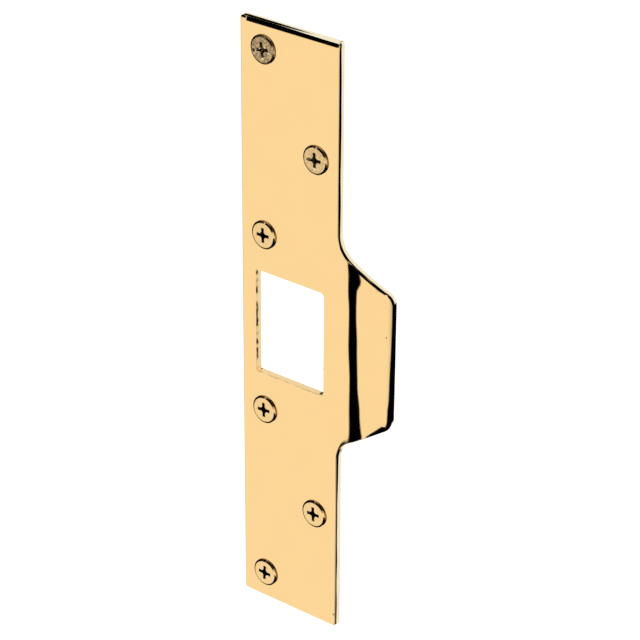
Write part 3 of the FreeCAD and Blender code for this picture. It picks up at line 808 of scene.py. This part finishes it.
def recess_punch():
    mesh = bmesh.new()
    wide, floor, slot = RECESS_WIDTH / 2, RECESS_FLOOR / 2, RECESS_SLOT / 2
    side = [
        (-wide, PUNCH_LID), (wide, PUNCH_LID), (wide, 0.0),
        (floor, RECESS_DEPTH), (-floor, RECESS_DEPTH), (-wide, 0.0),
    ]
    for turned in (False, True):
        rows = []
        for across in (-slot, slot):
            row = []
            for x, y in side:
                z = across * (BLADE_TAPER if y > 0 else 1.0)
                row.append(mesh.verts.new(Vector((z, y, x) if turned else (x, y, z)) * MM))
            rows.append(row)
        mesh.faces.new(rows[0])
        mesh.faces.new(rows[1][::-1])
        for i in range(len(side)):
            j = (i + 1) % len(side)
            mesh.faces.new([rows[0][i], rows[1][i], rows[1][j], rows[0][j]])
    depth = PUNCH_POINT * RECESS_DEPTH
    wide_end = RECESS_CORE / 2 * (1 - PUNCH_LID / depth)
    middle = Matrix.Translation((0, (depth + PUNCH_LID) / 2 * MM, 0))
    bmesh.ops.create_cone(
        mesh, cap_ends=True, segments=24, radius1=wide_end * MM, radius2=0.02 * MM,
        depth=(depth - PUNCH_LID) * MM, matrix=middle @ Matrix.Rotation(math.radians(-90), 4, "X"),
    )
    bmesh.ops.recalc_face_normals(mesh, faces=mesh.faces)
    return mesh


trial = recess_punch()
print("the punch has", len(trial.faces), "faces")
trial.free()

# %% [markdown]
# A boolean modifier takes the punch out of the blank. Blades and cone overlap each other, so it
# needs the exact solver with self intersection. Only the finished mesh is kept.

# %% Press the recess
def cut_recess(body_mesh, punch_mesh):
    data, cutter = bpy.data.meshes.new("screw_blank"), bpy.data.meshes.new("punch")
    body_mesh.to_mesh(data)
    punch_mesh.to_mesh(cutter)
    blank, punch = bpy.data.objects.new("blank", data), bpy.data.objects.new("punch", cutter)
    for item in (blank, punch):
        bpy.context.scene.collection.objects.link(item)
    cut = blank.modifiers.new("recess", "BOOLEAN")
    cut.operation, cut.solver, cut.object = "DIFFERENCE", "EXACT", punch
    cut.use_self = True
    graph = bpy.context.evaluated_depsgraph_get()
    done = bpy.data.meshes.new_from_object(blank.evaluated_get(graph))
    for item in (blank, punch):
        bpy.data.objects.remove(item)
    return done


trial = cut_recess(screw_body(0.0), recess_punch())
print("a punched screw has", len(trial.polygons), "faces")
bpy.data.meshes.remove(trial)

# %% [markdown]
# One screw has four finishes: the turned head, its rim and cone in painted shade, the recess in painted
# shade and the thread.
# They are told apart by where each face lies, which is simpler and surer than picking faces.

# %% Sort the faces of a screw
SHARP_ANGLE = 22
CONE_END, RECESS_REACH = 2.7, 2.52


def finish_screw(data):
    """Tell head, recess and thread apart, and keep the turned edges crisp."""
    for polygon in data.polygons:
        centre = polygon.center / MM
        across = math.hypot(centre.x, centre.z)
        polygon.use_smooth = True
        polygon.material_index = HEAD
        if 0.01 < centre.y < CONE_END and across < RECESS_REACH:
            polygon.material_index = RECESS
        elif centre.y > CONE_END:
            polygon.material_index = THREAD
        elif centre.y > BEVEL_DEPTH * 0.9:
            polygon.material_index = RIM
    data.set_sharp_from_angle(angle=math.radians(SHARP_ANGLE))


print("faces meeting at more than %d degrees stay crisp" % SHARP_ANGLE)

# %% [markdown]
# Each screw has its own slight wear and its own turn of the cross. It is made upright at the
# origin, then turned, leant and set into its hole.

# %% Drive the screws
WEAR_STEP = 3.7  # moves the noise on, so that no two heads wear alike
screws = []
for number, (name, head, axis) in enumerate(screw_places):
    screw_data = cut_recess(screw_body(number * WEAR_STEP), recess_punch())
    screw_data.name = name
    finish_screw(screw_data)
    lean = Vector((0, 1, 0)).rotation_difference(axis).to_matrix().to_4x4()
    spin = Matrix.Rotation(math.radians(SCREW_TURNS[name]), 4, (0, -1, 0))
    screw_data.transform(Matrix.Translation(head * MM) @ lean @ spin)
    screws.append(new_piece(name, screw_data))
    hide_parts("screws")
print("screws:", len(screws), "of", len(screw_data.polygons), "faces")

# %% [markdown]
# ## Effects that several finishes share
#
# The metallic shader needs little: the colour that the metal gives to what it reflects, and how
# sharp that reflection is. What makes it brass and not gold paint is in the small faults. Three of
# them turn up in more than one finish, so each is made once:
#
# - `drawn_lines`, fine lines that a wheel, a roller or a shear leaves, long one way and narrow
#   across;
# - `tarnish`, the brown film that handling and air leave in patches;
# - `speck`, one small spot at a given place.
#
# First come small helpers that place and join nodes, so that the recipes below read like recipes.

# %% Helpers for nodes
def node(tree, kind, **values):
    made = tree.nodes.new(kind)
    for key, value in values.items():
        setattr(made, key, value)
    return made


def feed(tree, target, value):
    """Give a socket either a fixed value or the output of another node."""
    if isinstance(value, bpy.types.NodeSocket):
        tree.links.new(value, target)
    else:
        target.default_value = value


def maths(tree, operation, *values):
    made = node(tree, "ShaderNodeMath", operation=operation)
    for socket, value in zip(made.inputs, values):
        feed(tree, socket, value)
    return made.outputs[0]


def ramp(tree, value, start, end, low=0.0, high=1.0):
    """A soft step: `low` up to the start, `high` from the end on."""
    made = node(tree, "ShaderNodeMapRange", interpolation_type="SMOOTHSTEP")
    names = ("Value", "From Min", "From Max", "To Min", "To Max")
    for name, given in zip(names, (value, start, end, low, high)):
        feed(tree, made.inputs[name], given)
    return made.outputs[0]


def blend(tree, share, first, second):
    """A mix of two colours: the first at a share of 0, the second at 1."""
    made = node(tree, "ShaderNodeMix", data_type="RGBA")
    for number, value in ((0, share), (6, first), (7, second)):
        feed(tree, made.inputs[number], value)
    return made.outputs[2]


def new_effect(name, inputs, outputs):
    group = bpy.data.node_groups.new(name, "ShaderNodeTree")
    for label, kind, start in inputs:
        socket = group.interface.new_socket(label, in_out="INPUT", socket_type="NodeSocket" + kind)
        if start is not None:
            socket.default_value = start
    for label, kind in outputs:
        group.interface.new_socket(label, in_out="OUTPUT", socket_type="NodeSocket" + kind)
    given, put_out = node(group, "NodeGroupInput"), node(group, "NodeGroupOutput")
    return group, given.outputs, put_out.inputs


def use(tree, group, **values):
    made = node(tree, "ShaderNodeGroup", node_tree=group)
    for key, value in values.items():
        feed(tree, made.inputs[key.replace("_", " ")], value)
    return made.outputs


print("helpers for nodes:", [helper.__name__ for helper in (node, feed, maths, ramp, blend, use)])

# %% [markdown]
# Lines that a wheel or a roller leaves are noise, stretched a long way in one direction. A wave
# texture would give stripes that are too regular.

# %% Drawn lines
def make_lines():
    group, given, put_out = new_effect(
        "drawn_lines",
        [("Place", "Vector", None), ("Stretch", "Vector", (1, 1, 1)), ("Seed", "Float", 0.0)],
        [("Lines", "Float")],
    )
    scaled = node(group, "ShaderNodeVectorMath", operation="MULTIPLY")
    feed(group, scaled.inputs[0], given["Place"])
    feed(group, scaled.inputs[1], given["Stretch"])
    grain = node(group, "ShaderNodeTexNoise", noise_dimensions="4D")
    feed(group, grain.inputs["Vector"], scaled.outputs[0])
    feed(group, grain.inputs["W"], given["Seed"])
    grain.inputs["Scale"].default_value = 1.0
    grain.inputs["Detail"].default_value = 3.0
    feed(group, put_out["Lines"], ramp(group, grain.outputs["Fac"], 0.3, 0.7))
    return group


lines = make_lines()
print("shared effect:", lines.name)

# %% [markdown]
# Tarnish is a thin film and not paint: it darkens and browns what the metal reflects. So it is
# mixed into the metal's colour, in ragged patches, and its mask also roughens the surface.

# %% Tarnish
def make_tarnish():
    group, given, put_out = new_effect(
        "tarnish",
        [("Place", "Vector", None), ("Clean", "Color", None), ("Film", "Color", None),
         ("Amount", "Float", 0.1), ("Patch", "Float", 2.0)],
        [("Color", "Color"), ("Mask", "Float")],
    )
    grain = node(group, "ShaderNodeTexNoise")
    feed(group, grain.inputs["Vector"], given["Place"])
    feed(group, grain.inputs["Scale"], maths(group, "DIVIDE", 1.0, given["Patch"]))
    grain.inputs["Detail"].default_value = 5.0
    patches = ramp(group, grain.outputs["Fac"], 0.32, 0.68)
    mask = maths(group, "MULTIPLY", maths(group, "MULTIPLY_ADD", patches, 0.7, 0.3), given["Amount"])
    feed(group, put_out["Color"], blend(group, mask, given["Clean"], given["Film"]))
    feed(group, put_out["Mask"], mask)
    return group


tarnish = make_tarnish()
print("shared effect:", tarnish.name)

# %% [markdown]
# A spot is everything within a distance of a point, with a ragged rim. Because its place is an
# input, the same group serves stains on the plate and painted glints and dark spots on the heads.

# %% Speck
def make_speck():
    group, given, put_out = new_effect(
        "speck", [("Place", "Vector", None), ("Middle", "Vector", (0, 0, 0)), ("Size", "Float", 0.4)],
        [("Mask", "Float")],
    )
    away = node(group, "ShaderNodeVectorMath", operation="DISTANCE")
    feed(group, away.inputs[0], given["Place"])
    feed(group, away.inputs[1], given["Middle"])
    grain = node(group, "ShaderNodeTexNoise")
    feed(group, grain.inputs["Vector"], given["Place"])
    grain.inputs["Scale"].default_value = 5.0
    ragged = maths(group, "MULTIPLY_ADD", grain.outputs["Fac"], 0.5, away.outputs["Value"])
    reach = maths(group, "ADD", given["Size"], 0.25)
    start = maths(group, "SUBTRACT", reach, 0.15)
    feed(group, put_out["Mask"], ramp(group, ragged, start, reach, 1.0, 0.0))
    return group


speck = make_speck()
print("shared effect:", speck.name)

# %% [markdown]
# ## The finishes of the sheet
#
# All of them are the same brass, so they share its colours and three helpers: one starts a metal
# and measures places in millimetres, one raises the surface a little, and one coats the metal with
# its film and spots. Brass is warm because it swallows blue. The paler brass is a painted highlight:
# it stands for the brighter light on the cut edges, and for glints on the heads.

# %% Colours and helpers of the metals
BRASS = (0.982, 0.680, 0.314, 1)
# paler brass: painted highlight on the cut edges, painted glints on the heads and in the recesses
PAINTED_HIGHLIGHT_BRASS = (1.0, 0.88, 0.62, 1)
WARM_BRASS = (1.0, 0.73, 0.37, 1)
DULL_BRASS = (0.78, 0.50, 0.22, 1)
BROWN_FILM = (0.42, 0.27, 0.13, 1)
# near black: dark spots on plate and heads, and painted shade in the recesses and on the heads' rims
DARK_SPOT_AND_SHADE = (0.05, 0.035, 0.02, 1)
# grey: painted shade on the heads' rims
RIM_SHADE_GREY = (0.62, 0.52, 0.34, 1)
GREY_BROWN = (0.35, 0.255, 0.145, 1)
# brown: painted shade in the crosses of the browner heads
RECESS_SHADE_BROWN = (0.17, 0.11, 0.06, 1)
RED_BROWN = (0.25, 0.09, 0.05, 1)
OLIVE = (0.34, 0.30, 0.14, 1)


def new_metal(name):
    """A metallic material, with its shader and a place in millimetres."""
    material = bpy.data.materials.new(name)
    material.use_nodes = True
    tree = material.node_tree
    shader = tree.nodes["Principled BSDF"]
    shader.inputs["Metallic"].default_value = 1.0
    place = node(tree, "ShaderNodeVectorMath", operation="SCALE")
    place.inputs["Scale"].default_value = 1 / MM
    tree.links.new(node(tree, "ShaderNodeTexCoord").outputs["Object"], place.inputs[0])
    return material, tree, shader, place.outputs[0]


def raise_surface(tree, shader, height, distance):
    bump = node(tree, "ShaderNodeBump")
    bump.inputs["Distance"].default_value = distance * MM
    feed(tree, bump.inputs["Height"], height)
    feed(tree, shader.inputs["Normal"], bump.outputs[0])


def add_specks(tree, place, colour, marks):
    for middle, size, shade in marks:
        spot = use(tree, speck, Place=place, Middle=middle, Size=size)["Mask"]
        colour = blend(tree, spot, colour, shade)
    return colour


def coat(tree, shader, place, clean, film, amount, patch, marks=()):
    """Colour a metal under a patchy film, with its spots, and give back the film's mask."""
    worn = use(tree, tarnish, Place=place, Clean=clean, Film=film, Amount=amount, Patch=patch)
    feed(tree, shader.inputs["Base Color"], add_specks(tree, place, worn["Color"], marks))
    return worn["Mask"]


print("colours of the brass:", [tuple(round(v, 2) for v in c[:3]) for c in (BRASS, PAINTED_HIGHLIGHT_BRASS)])

# %% [markdown]
# The face is buffed lengthwise to a mirror. Its roughness is small but not zero, with faint lines
# along the plate, which softens the rims of the reflections as on the real one. A few stains are
# placed one by one, each at its own spot.

# %% The polished face
FACE_MARKS = [  # x, z, size and colour of the few spots on the face
    (13.9, -7.9, 0.2, DARK_SPOT_AND_SHADE), (36.0, 9.2, 0.33, RED_BROWN), (18.4, -97.3, 0.5, OLIVE),
]


def polished_face():
    material, tree, shader, place = new_metal("polished_face")
    marks = [(tuple(on_sheet(unroll(x), z, 0.0)), size, shade) for x, z, size, shade in FACE_MARKS]
    coat(tree, shader, place, BRASS, BROWN_FILM, 0.02, 9.0, marks)
    buffing = use(tree, lines, Place=place, Stretch=(6.0, 6.0, 0.12), Seed=1.0)["Lines"]
    feed(tree, shader.inputs["Roughness"], maths(tree, "MULTIPLY_ADD", buffing, 0.02, 0.035))
    return material


sheet_finishes = [polished_face()]
print("finish:", sheet_finishes[0].name)

# %% [markdown]
# The edges and the holes were sheared, so fine marks run through the thickness. The outer edges
# get a paler brass, a painted highlight for the brighter light they catch, and the walls of the
# holes a slightly paler brass. Both are one recipe with their own values. The bump is kept very
# low: even a slight tilt would send a mirror's reflection somewhere else.

# %% The cut walls
WALL_MARKS = [((12.3, -0.95, -17.95), 1.15, DARK_SPOT_AND_SHADE)]


def cut_metal(name, clean, amount, rough, spots=()):
    """A sheared wall: marks through the thickness, along +Y."""
    material, tree, shader, place = new_metal(name)
    marks = use(tree, lines, Place=place, Stretch=(4.0, 0.5, 4.0), Seed=4.0)["Lines"]
    coat(tree, shader, place, clean, BROWN_FILM, amount, 1.2, spots)
    feed(tree, shader.inputs["Roughness"], maths(tree, "MULTIPLY_ADD", marks, 0.04, rough))
    raise_surface(tree, shader, marks, 0.0015)
    return material


# The cut edge's paler brass is a painted highlight.
sheet_finishes.append(cut_metal("cut_edge", PAINTED_HIGHLIGHT_BRASS, 0.08, 0.06))
sheet_finishes.append(cut_metal("hole_wall", WARM_BRASS, 0.06, 0.07, WALL_MARKS))
print("finishes:", [material.name for material in sheet_finishes[1:]])

# %% [markdown]
# The back was never polished. It keeps the rolled surface of the sheet, dull and lined lengthwise,
# under a brown film that has had years to grow.

# %% The rolled back
def rolled_back():
    material, tree, shader, place = new_metal("rolled_back")
    rolling = use(tree, lines, Place=place, Stretch=(3.0, 3.0, 0.05), Seed=8.0)["Lines"]
    film = coat(tree, shader, place, DULL_BRASS, BROWN_FILM, 0.5, 14.0)
    worn = maths(tree, "MULTIPLY_ADD", film, 0.25, 0.22)
    feed(tree, shader.inputs["Roughness"], maths(tree, "MULTIPLY_ADD", rolling, 0.1, worn))
    raise_surface(tree, shader, rolling, 0.01)
    return material


sheet_finishes.append(rolled_back())
for material in sheet_finishes:
    plate_data.materials.append(material)
print("sheet finishes:", [material.name for material in sheet_finishes])

# %% [markdown]
# ## The finishes of the screws
#
# The screws look older than the plate: the upper two heads are browner than the others, partly
# from film and partly as painted shade for the darker surroundings they mirror, with a few painted
# glints and a dark spot at the left. One recipe serves all heads, with more or less film. The glints
# and the spot are placed one by one, measured from the cross.

# %% The turned heads
# The browner heads' extra film is partly painted shade.
HEAD_FILM_AND_SHADE = {"screw_top_left": 1.0, "screw_upper_right": 0.42}
# Pale marks are painted glints; dark marks are dark spots.
HEAD_MARKS = {  # across and up from the middle of the cross, size, colour
    "screw_top_left": [
        (0.4, -2.8, 0.52, PAINTED_HIGHLIGHT_BRASS), (1.3, 1.0, 0.4, PAINTED_HIGHLIGHT_BRASS), (2.9, -0.6, 0.4, PAINTED_HIGHLIGHT_BRASS),
        (-3.2, -0.75, 0.6, DARK_SPOT_AND_SHADE),
    ],
    "screw_upper_right": [(0.1, -2.8, 0.45, PAINTED_HIGHLIGHT_BRASS), (-2.8, -0.3, 0.45, DARK_SPOT_AND_SHADE)],
}
PLAIN_HEAD_FILM = 0.1


def turned_head(name, amount, marks=()):
    material, tree, shader, place = new_metal(name)
    film = coat(tree, shader, place, BRASS, GREY_BROWN, amount, 0.8, marks)
    buffing = use(tree, lines, Place=place, Stretch=(5.0, 5.0, 0.3), Seed=2.0)["Lines"]
    rough = maths(tree, "MULTIPLY_ADD", film, 0.2, 0.08)
    feed(tree, shader.inputs["Roughness"], maths(tree, "MULTIPLY_ADD", buffing, 0.05, rough))
    return material


plain_head = turned_head("turned_head", PLAIN_HEAD_FILM)
print("finish:", plain_head.name)

# %% [markdown]
# The recesses are darkened as painted shade for the shadow inside the cross, with pale spots where
# the driver bit that are partly worn metal and partly painted glints. The side of the head and the
# cone under it are grey and dark, a painted shade for the gap between head and plate, and the thread
# is as rolled, a little oily and matt. Each is a metal too, darker than the head.

# %% Recess, rim and thread
def shaded_recess(name, bare, painted_shade):
    """Painted shade for the recess, with pale spots that are partly metal worn by the driver and partly
    painted glints; `bare` is how much of them shows.
    """
    material, tree, shader, place = new_metal(name)
    spots = use(tree, tarnish, Place=place, Clean=(0, 0, 0, 1), Film=(1, 1, 1, 1), Amount=1.0, Patch=0.55)
    # where the pale painted glints show; the rest of the recess is painted shade
    clear = ramp(tree, spots["Mask"], 1.0 - bare, 1.08 - bare)
    feed(tree, shader.inputs["Base Color"], blend(tree, clear, painted_shade, PAINTED_HIGHLIGHT_BRASS))
    feed(tree, shader.inputs["Roughness"], ramp(tree, clear, 0.0, 1.0, 0.45, 0.15))
    return material


def shaded_rim():
    """The side of the head and the cone under it, greyed and darkened: painted shade for the gap between
    head and plate.
    """
    material, tree, shader, place = new_metal("shaded_rim")
    film = coat(tree, shader, place, RIM_SHADE_GREY, DARK_SPOT_AND_SHADE, 0.35, 0.9)
    feed(tree, shader.inputs["Roughness"], maths(tree, "MULTIPLY_ADD", film, 0.2, 0.3))
    return material


def rolled_thread():
    material, tree, shader, place = new_metal("rolled_thread")
    coat(tree, shader, place, DULL_BRASS, BROWN_FILM, 0.6, 2.5)
    rolling = use(tree, lines, Place=place, Stretch=(5.0, 0.6, 5.0), Seed=6.0)["Lines"]
    feed(tree, shader.inputs["Roughness"], maths(tree, "MULTIPLY_ADD", rolling, 0.12, 0.24))
    return material


thread, rim = rolled_thread(), shaded_rim()
# Both recesses are painted shade with painted glints; the first is browner and has more glints.
recesses = {
    True: shaded_recess("worn_brown_shaded_recess", 0.26, RECESS_SHADE_BROWN),
    False: shaded_recess("shaded_recess", 0.04, DARK_SPOT_AND_SHADE),
}
print("finishes:", [material.name for material in (thread, rim, *recesses.values())])

# %% [markdown]
# Every screw gets its four finishes in the order of its face slots: head, rim, recess and thread.
# Only the two brown heads need a material of their own, because their painted glints and dark spots
# differ.

# %% Hand out the finishes
for screw, (name, head, _) in zip(screws, screw_places):
    browner = name in HEAD_FILM_AND_SHADE
    head_finish = plain_head
    if browner:
        marks = [(tuple(head + Vector((x, 0, z))), size, shade) for x, z, size, shade in HEAD_MARKS[name]]
        head_finish = turned_head("brown_head_" + name, HEAD_FILM_AND_SHADE[name], marks)
    for material in (head_finish, rim, recesses[browner], thread):
        screw.data.materials.append(material)
print("browner heads:", sorted(HEAD_FILM_AND_SHADE))

# %% [markdown]
# ## The studio
#
# Polished metal shows its surroundings, so the surroundings are drawn first. The world is a
# bright tent with dark flags in it, the way a product photographer lights brass: without them the
# bends and edges would vanish in an even glow. Each flag stands where one edge of the part
# mirrors it, and the plain views from the front and the back see only the tent.
#
# A direction in the tent is told by its turn (0 ahead of the face, + towards the lip, 180 behind)
# and its rise above the horizon, both in degrees. Real cards around the plate would do the same
# job, but flags at infinity depend on direction alone, so each one answers for one edge.

# %% The flags
FLAGS = [  # turn from, to, rise from, to, softness
    # the bend
    (-35.6, -20.5, -42, -22, 2.0),
    # the roll at the top, and the upper bevels of the heads
    (-47, -31, -9, 22, 2.0),
    (-58, -36, 20, 38, 3.0),
    # the lip: its upper side, then its end
    (-31, 104, 8.5, 55, 3.0),
    (1, 36, -64, -22, 5.0),
    # the right bevels of the heads
    (12, 25, -24, 6, 3.0),
    # the worn lower corner of the lip
    (-12, 8, -66, -35, 3.0),
    (30, 105, -66, -38, 4.0),
    # the leaning part of the cut edges
    (87, 137, -40, -20, 2.0),
    (100, 128, -22, 46, 2.0),
    (100, 140, 34, 46, 3.0),
    (100, 147, 44, 62, 3.0),
    (100, 148, -66, -39, 3.0),
    (145, 178, -66, -47, 4.0),
    # the cut wall at the end of the lip, on both sides of straight behind
    (170, 181.5, -34, -18, 2.0),
    (-181.5, -170, -34, -18, 2.0),
    # the leaning part of the top edge
    (-165, -112, 31, 50, 3.0),
    # the left and lower bevels of the heads
    (-125, -65, -70, -18, 4.0),
    (-95, -46, -30, 21, 4.0),
    (-30, 60, -66, -50, 4.0),
    # straight below, all round
    (-182, 182, -91, -59, 4.0),
]


def make_flag():
    labels = ("Turn", "Rise", "Left", "Right", "Low", "High", "Softness")
    inputs = [(label, "Float", None) for label in labels]
    group, given, put_out = new_effect("flag", inputs, [("Shade", "Float")])
    half = maths(group, "MULTIPLY", given["Softness"], 0.5)

    def covered(value, first, last):
        """1 between the two borders, with a soft step at each."""
        steps = []
        for border, before, after in ((first, 0.0, 1.0), (last, 1.0, 0.0)):
            start, end = maths(group, "SUBTRACT", border, half), maths(group, "ADD", border, half)
            steps.append(ramp(group, value, start, end, before, after))
        return maths(group, "MULTIPLY", *steps)

    across = covered(given["Turn"], given["Left"], given["Right"])
    upright = covered(given["Rise"], given["Low"], given["High"])
    feed(group, put_out["Shade"], maths(group, "MULTIPLY", across, upright))
    return group


flag = make_flag()
print("flags:", len(FLAGS), "made with the group", flag.name)

# %% [markdown]
# The world works out the turn and the rise of every direction, takes the darkest flag there, and
# leaves the rest bright, a touch brighter where the flat face looks. The camera itself sees plain
# white, so the picture's background stays clean.

# %% The light tent
MIRRORED = (-0.5556, -0.6921, -0.4609)  # where the flat face looks, seen from the camera


def make_world():
    world = bpy.data.worlds.new("light_tent")
    bpy.context.scene.world = world
    world.use_nodes = True
    tree = world.node_tree
    tree.nodes.clear()
    direction = node(tree, "ShaderNodeTexCoord").outputs["Generated"]
    split = node(tree, "ShaderNodeSeparateXYZ")
    feed(tree, split.inputs[0], direction)
    towards = maths(tree, "MULTIPLY", split.outputs["Y"], -1.0)
    turn = maths(tree, "DEGREES", maths(tree, "ARCTAN2", split.outputs["X"], towards))
    rise = maths(tree, "DEGREES", maths(tree, "ARCSINE", split.outputs["Z"]))

    dark = 0.0
    for left, right, low, high, softness in FLAGS:
        borders = {"Left": left, "Right": right, "Low": low, "High": high, "Softness": softness}
        shade = use(tree, flag, Turn=turn, Rise=rise, **borders)["Shade"]
        dark = maths(tree, "MAXIMUM", shade, dark)
    aim = node(tree, "ShaderNodeVectorMath", operation="DOT_PRODUCT")
    feed(tree, aim.inputs[0], direction)
    aim.inputs[1].default_value = MIRRORED
    glow = ramp(tree, aim.outputs["Value"], -0.6, 0.95, 0.93, 1.0)

    tent, white = node(tree, "ShaderNodeBackground"), node(tree, "ShaderNodeBackground")
    for plain in (tent, white):
        plain.inputs["Color"].default_value = (1, 1, 1, 1)
    feed(tree, tent.inputs["Strength"], maths(tree, "MULTIPLY", maths(tree, "SUBTRACT", 1.0, dark), glow))
    white.inputs["Strength"].default_value = 1.0
    mix = node(tree, "ShaderNodeMixShader")
    feed(tree, mix.inputs[0], node(tree, "ShaderNodeLightPath").outputs["Is Camera Ray"])
    feed(tree, mix.inputs[1], tent.outputs[0])
    feed(tree, mix.inputs[2], white.outputs[0])
    feed(tree, node(tree, "ShaderNodeOutputWorld").inputs[0], mix.outputs[0])


make_world()
print("world:", bpy.context.scene.world.name)

# %% [markdown]
# ## The camera
#
# The photograph was taken from the lip's side and from above, with a long lens. The values below
# put the corners of the plate where they are in a square picture.

# %% Camera
AZIMUTH, ELEVATION, ROLL = 38.753, 27.444, 0.284
DISTANCE, FOCAL_PIXELS, PICTURE_PIXELS = 849.4, 2752.6, 640
TARGET = Vector((12.136, -THICKNESS, 8.52))


def make_camera():
    az, el, roll = (math.radians(v) for v in (AZIMUTH, ELEVATION, ROLL))
    ahead = Vector((-math.sin(az) * math.cos(el), math.cos(az) * math.cos(el), -math.sin(el)))
    right = Vector((math.cos(az), math.sin(az), 0))
    up = right.cross(ahead)
    right, up = right * math.cos(roll) + up * math.sin(roll), up * math.cos(roll) - right * math.sin(roll)
    data = bpy.data.cameras.new("camera")
    camera = bpy.data.objects.new("camera", data)
    bpy.context.scene.collection.objects.link(camera)
    data.sensor_width = 36
    data.lens = FOCAL_PIXELS * data.sensor_width / PICTURE_PIXELS
    data.clip_start, data.clip_end = 50 * MM, 20000 * MM
    turn = Matrix((right, up, -ahead)).transposed().to_4x4()
    camera.matrix_world = Matrix.Translation((TARGET - ahead * DISTANCE) * MM) @ turn
    bpy.context.scene.camera = camera
    print("lens %.1f mm" % data.lens)


make_camera()

# %% [markdown]
# ## Floor and light
#
# The plate is shown in the air, as it hangs on a frame, so the floor lies well below it. It is
# plain and pale, and glows a little for the camera so that it runs into the white background. The
# brass does not mirror it, only the tent.

# %% Floor
FLOOR_DEPTH, FLOOR_SIZE = 450.0, 4000.0
FLOOR_WHITE, FLOOR_GLOW = 0.9, 0.55


def make_floor():
    data, size = bpy.data.meshes.new("floor"), FLOOR_SIZE * MM
    corners = [(-size, -size), (size, -size), (size, size), (-size, size)]
    data.from_pydata([(x, y, -FLOOR_DEPTH * MM) for x, y in corners], [], [(0, 1, 2, 3)])
    floor = bpy.data.objects.new("floor", data)
    bpy.context.scene.collection.objects.link(floor)
    material = bpy.data.materials.new("pale_floor")
    material.use_nodes = True
    tree = material.node_tree
    shader = tree.nodes["Principled BSDF"]
    shader.inputs["Base Color"].default_value = (FLOOR_WHITE, FLOOR_WHITE, FLOOR_WHITE, 1)
    shader.inputs["Roughness"].default_value = 0.9
    shader.inputs["Emission Color"].default_value = (1, 1, 1, 1)
    seen = node(tree, "ShaderNodeLightPath").outputs["Is Camera Ray"]
    feed(tree, shader.inputs["Emission Strength"], maths(tree, "MULTIPLY", seen, FLOOR_GLOW))
    data.materials.append(material)
    floor.visible_glossy = False


make_floor()
print("floor %.0f mm below the middle of the plate" % FLOOR_DEPTH)

# %% [markdown]
# One wide lamp from above and behind gives the floor its soft shadow. A wide square keeps the
# shadow's rim soft, and the brass does not mirror the lamp either.

# %% Lamp
LAMP_PLACE, LAMP_SIZE, LAMP_WATTS = Vector((360.0, 360.0, 1080.0)), 800.0, 6.0


def make_lamp():
    data = bpy.data.lights.new("wide_lamp", "AREA")
    data.shape, data.size, data.energy = "SQUARE", LAMP_SIZE * MM, LAMP_WATTS
    lamp = bpy.data.objects.new("wide_lamp", data)
    bpy.context.scene.collection.objects.link(lamp)
    aim = LAMP_PLACE.to_track_quat("Z", "Y").to_matrix().to_4x4()
    lamp.matrix_world = Matrix.Translation(LAMP_PLACE * MM) @ aim
    lamp.visible_glossy = False


make_lamp()
print("lamp of %.0f mm and %.0f W" % (LAMP_SIZE, LAMP_WATTS))

# %% [markdown]
# ## The last look
#
# The picture is shown without any film look.

bpy.context.scene.view_settings.view_transform = "Standard"
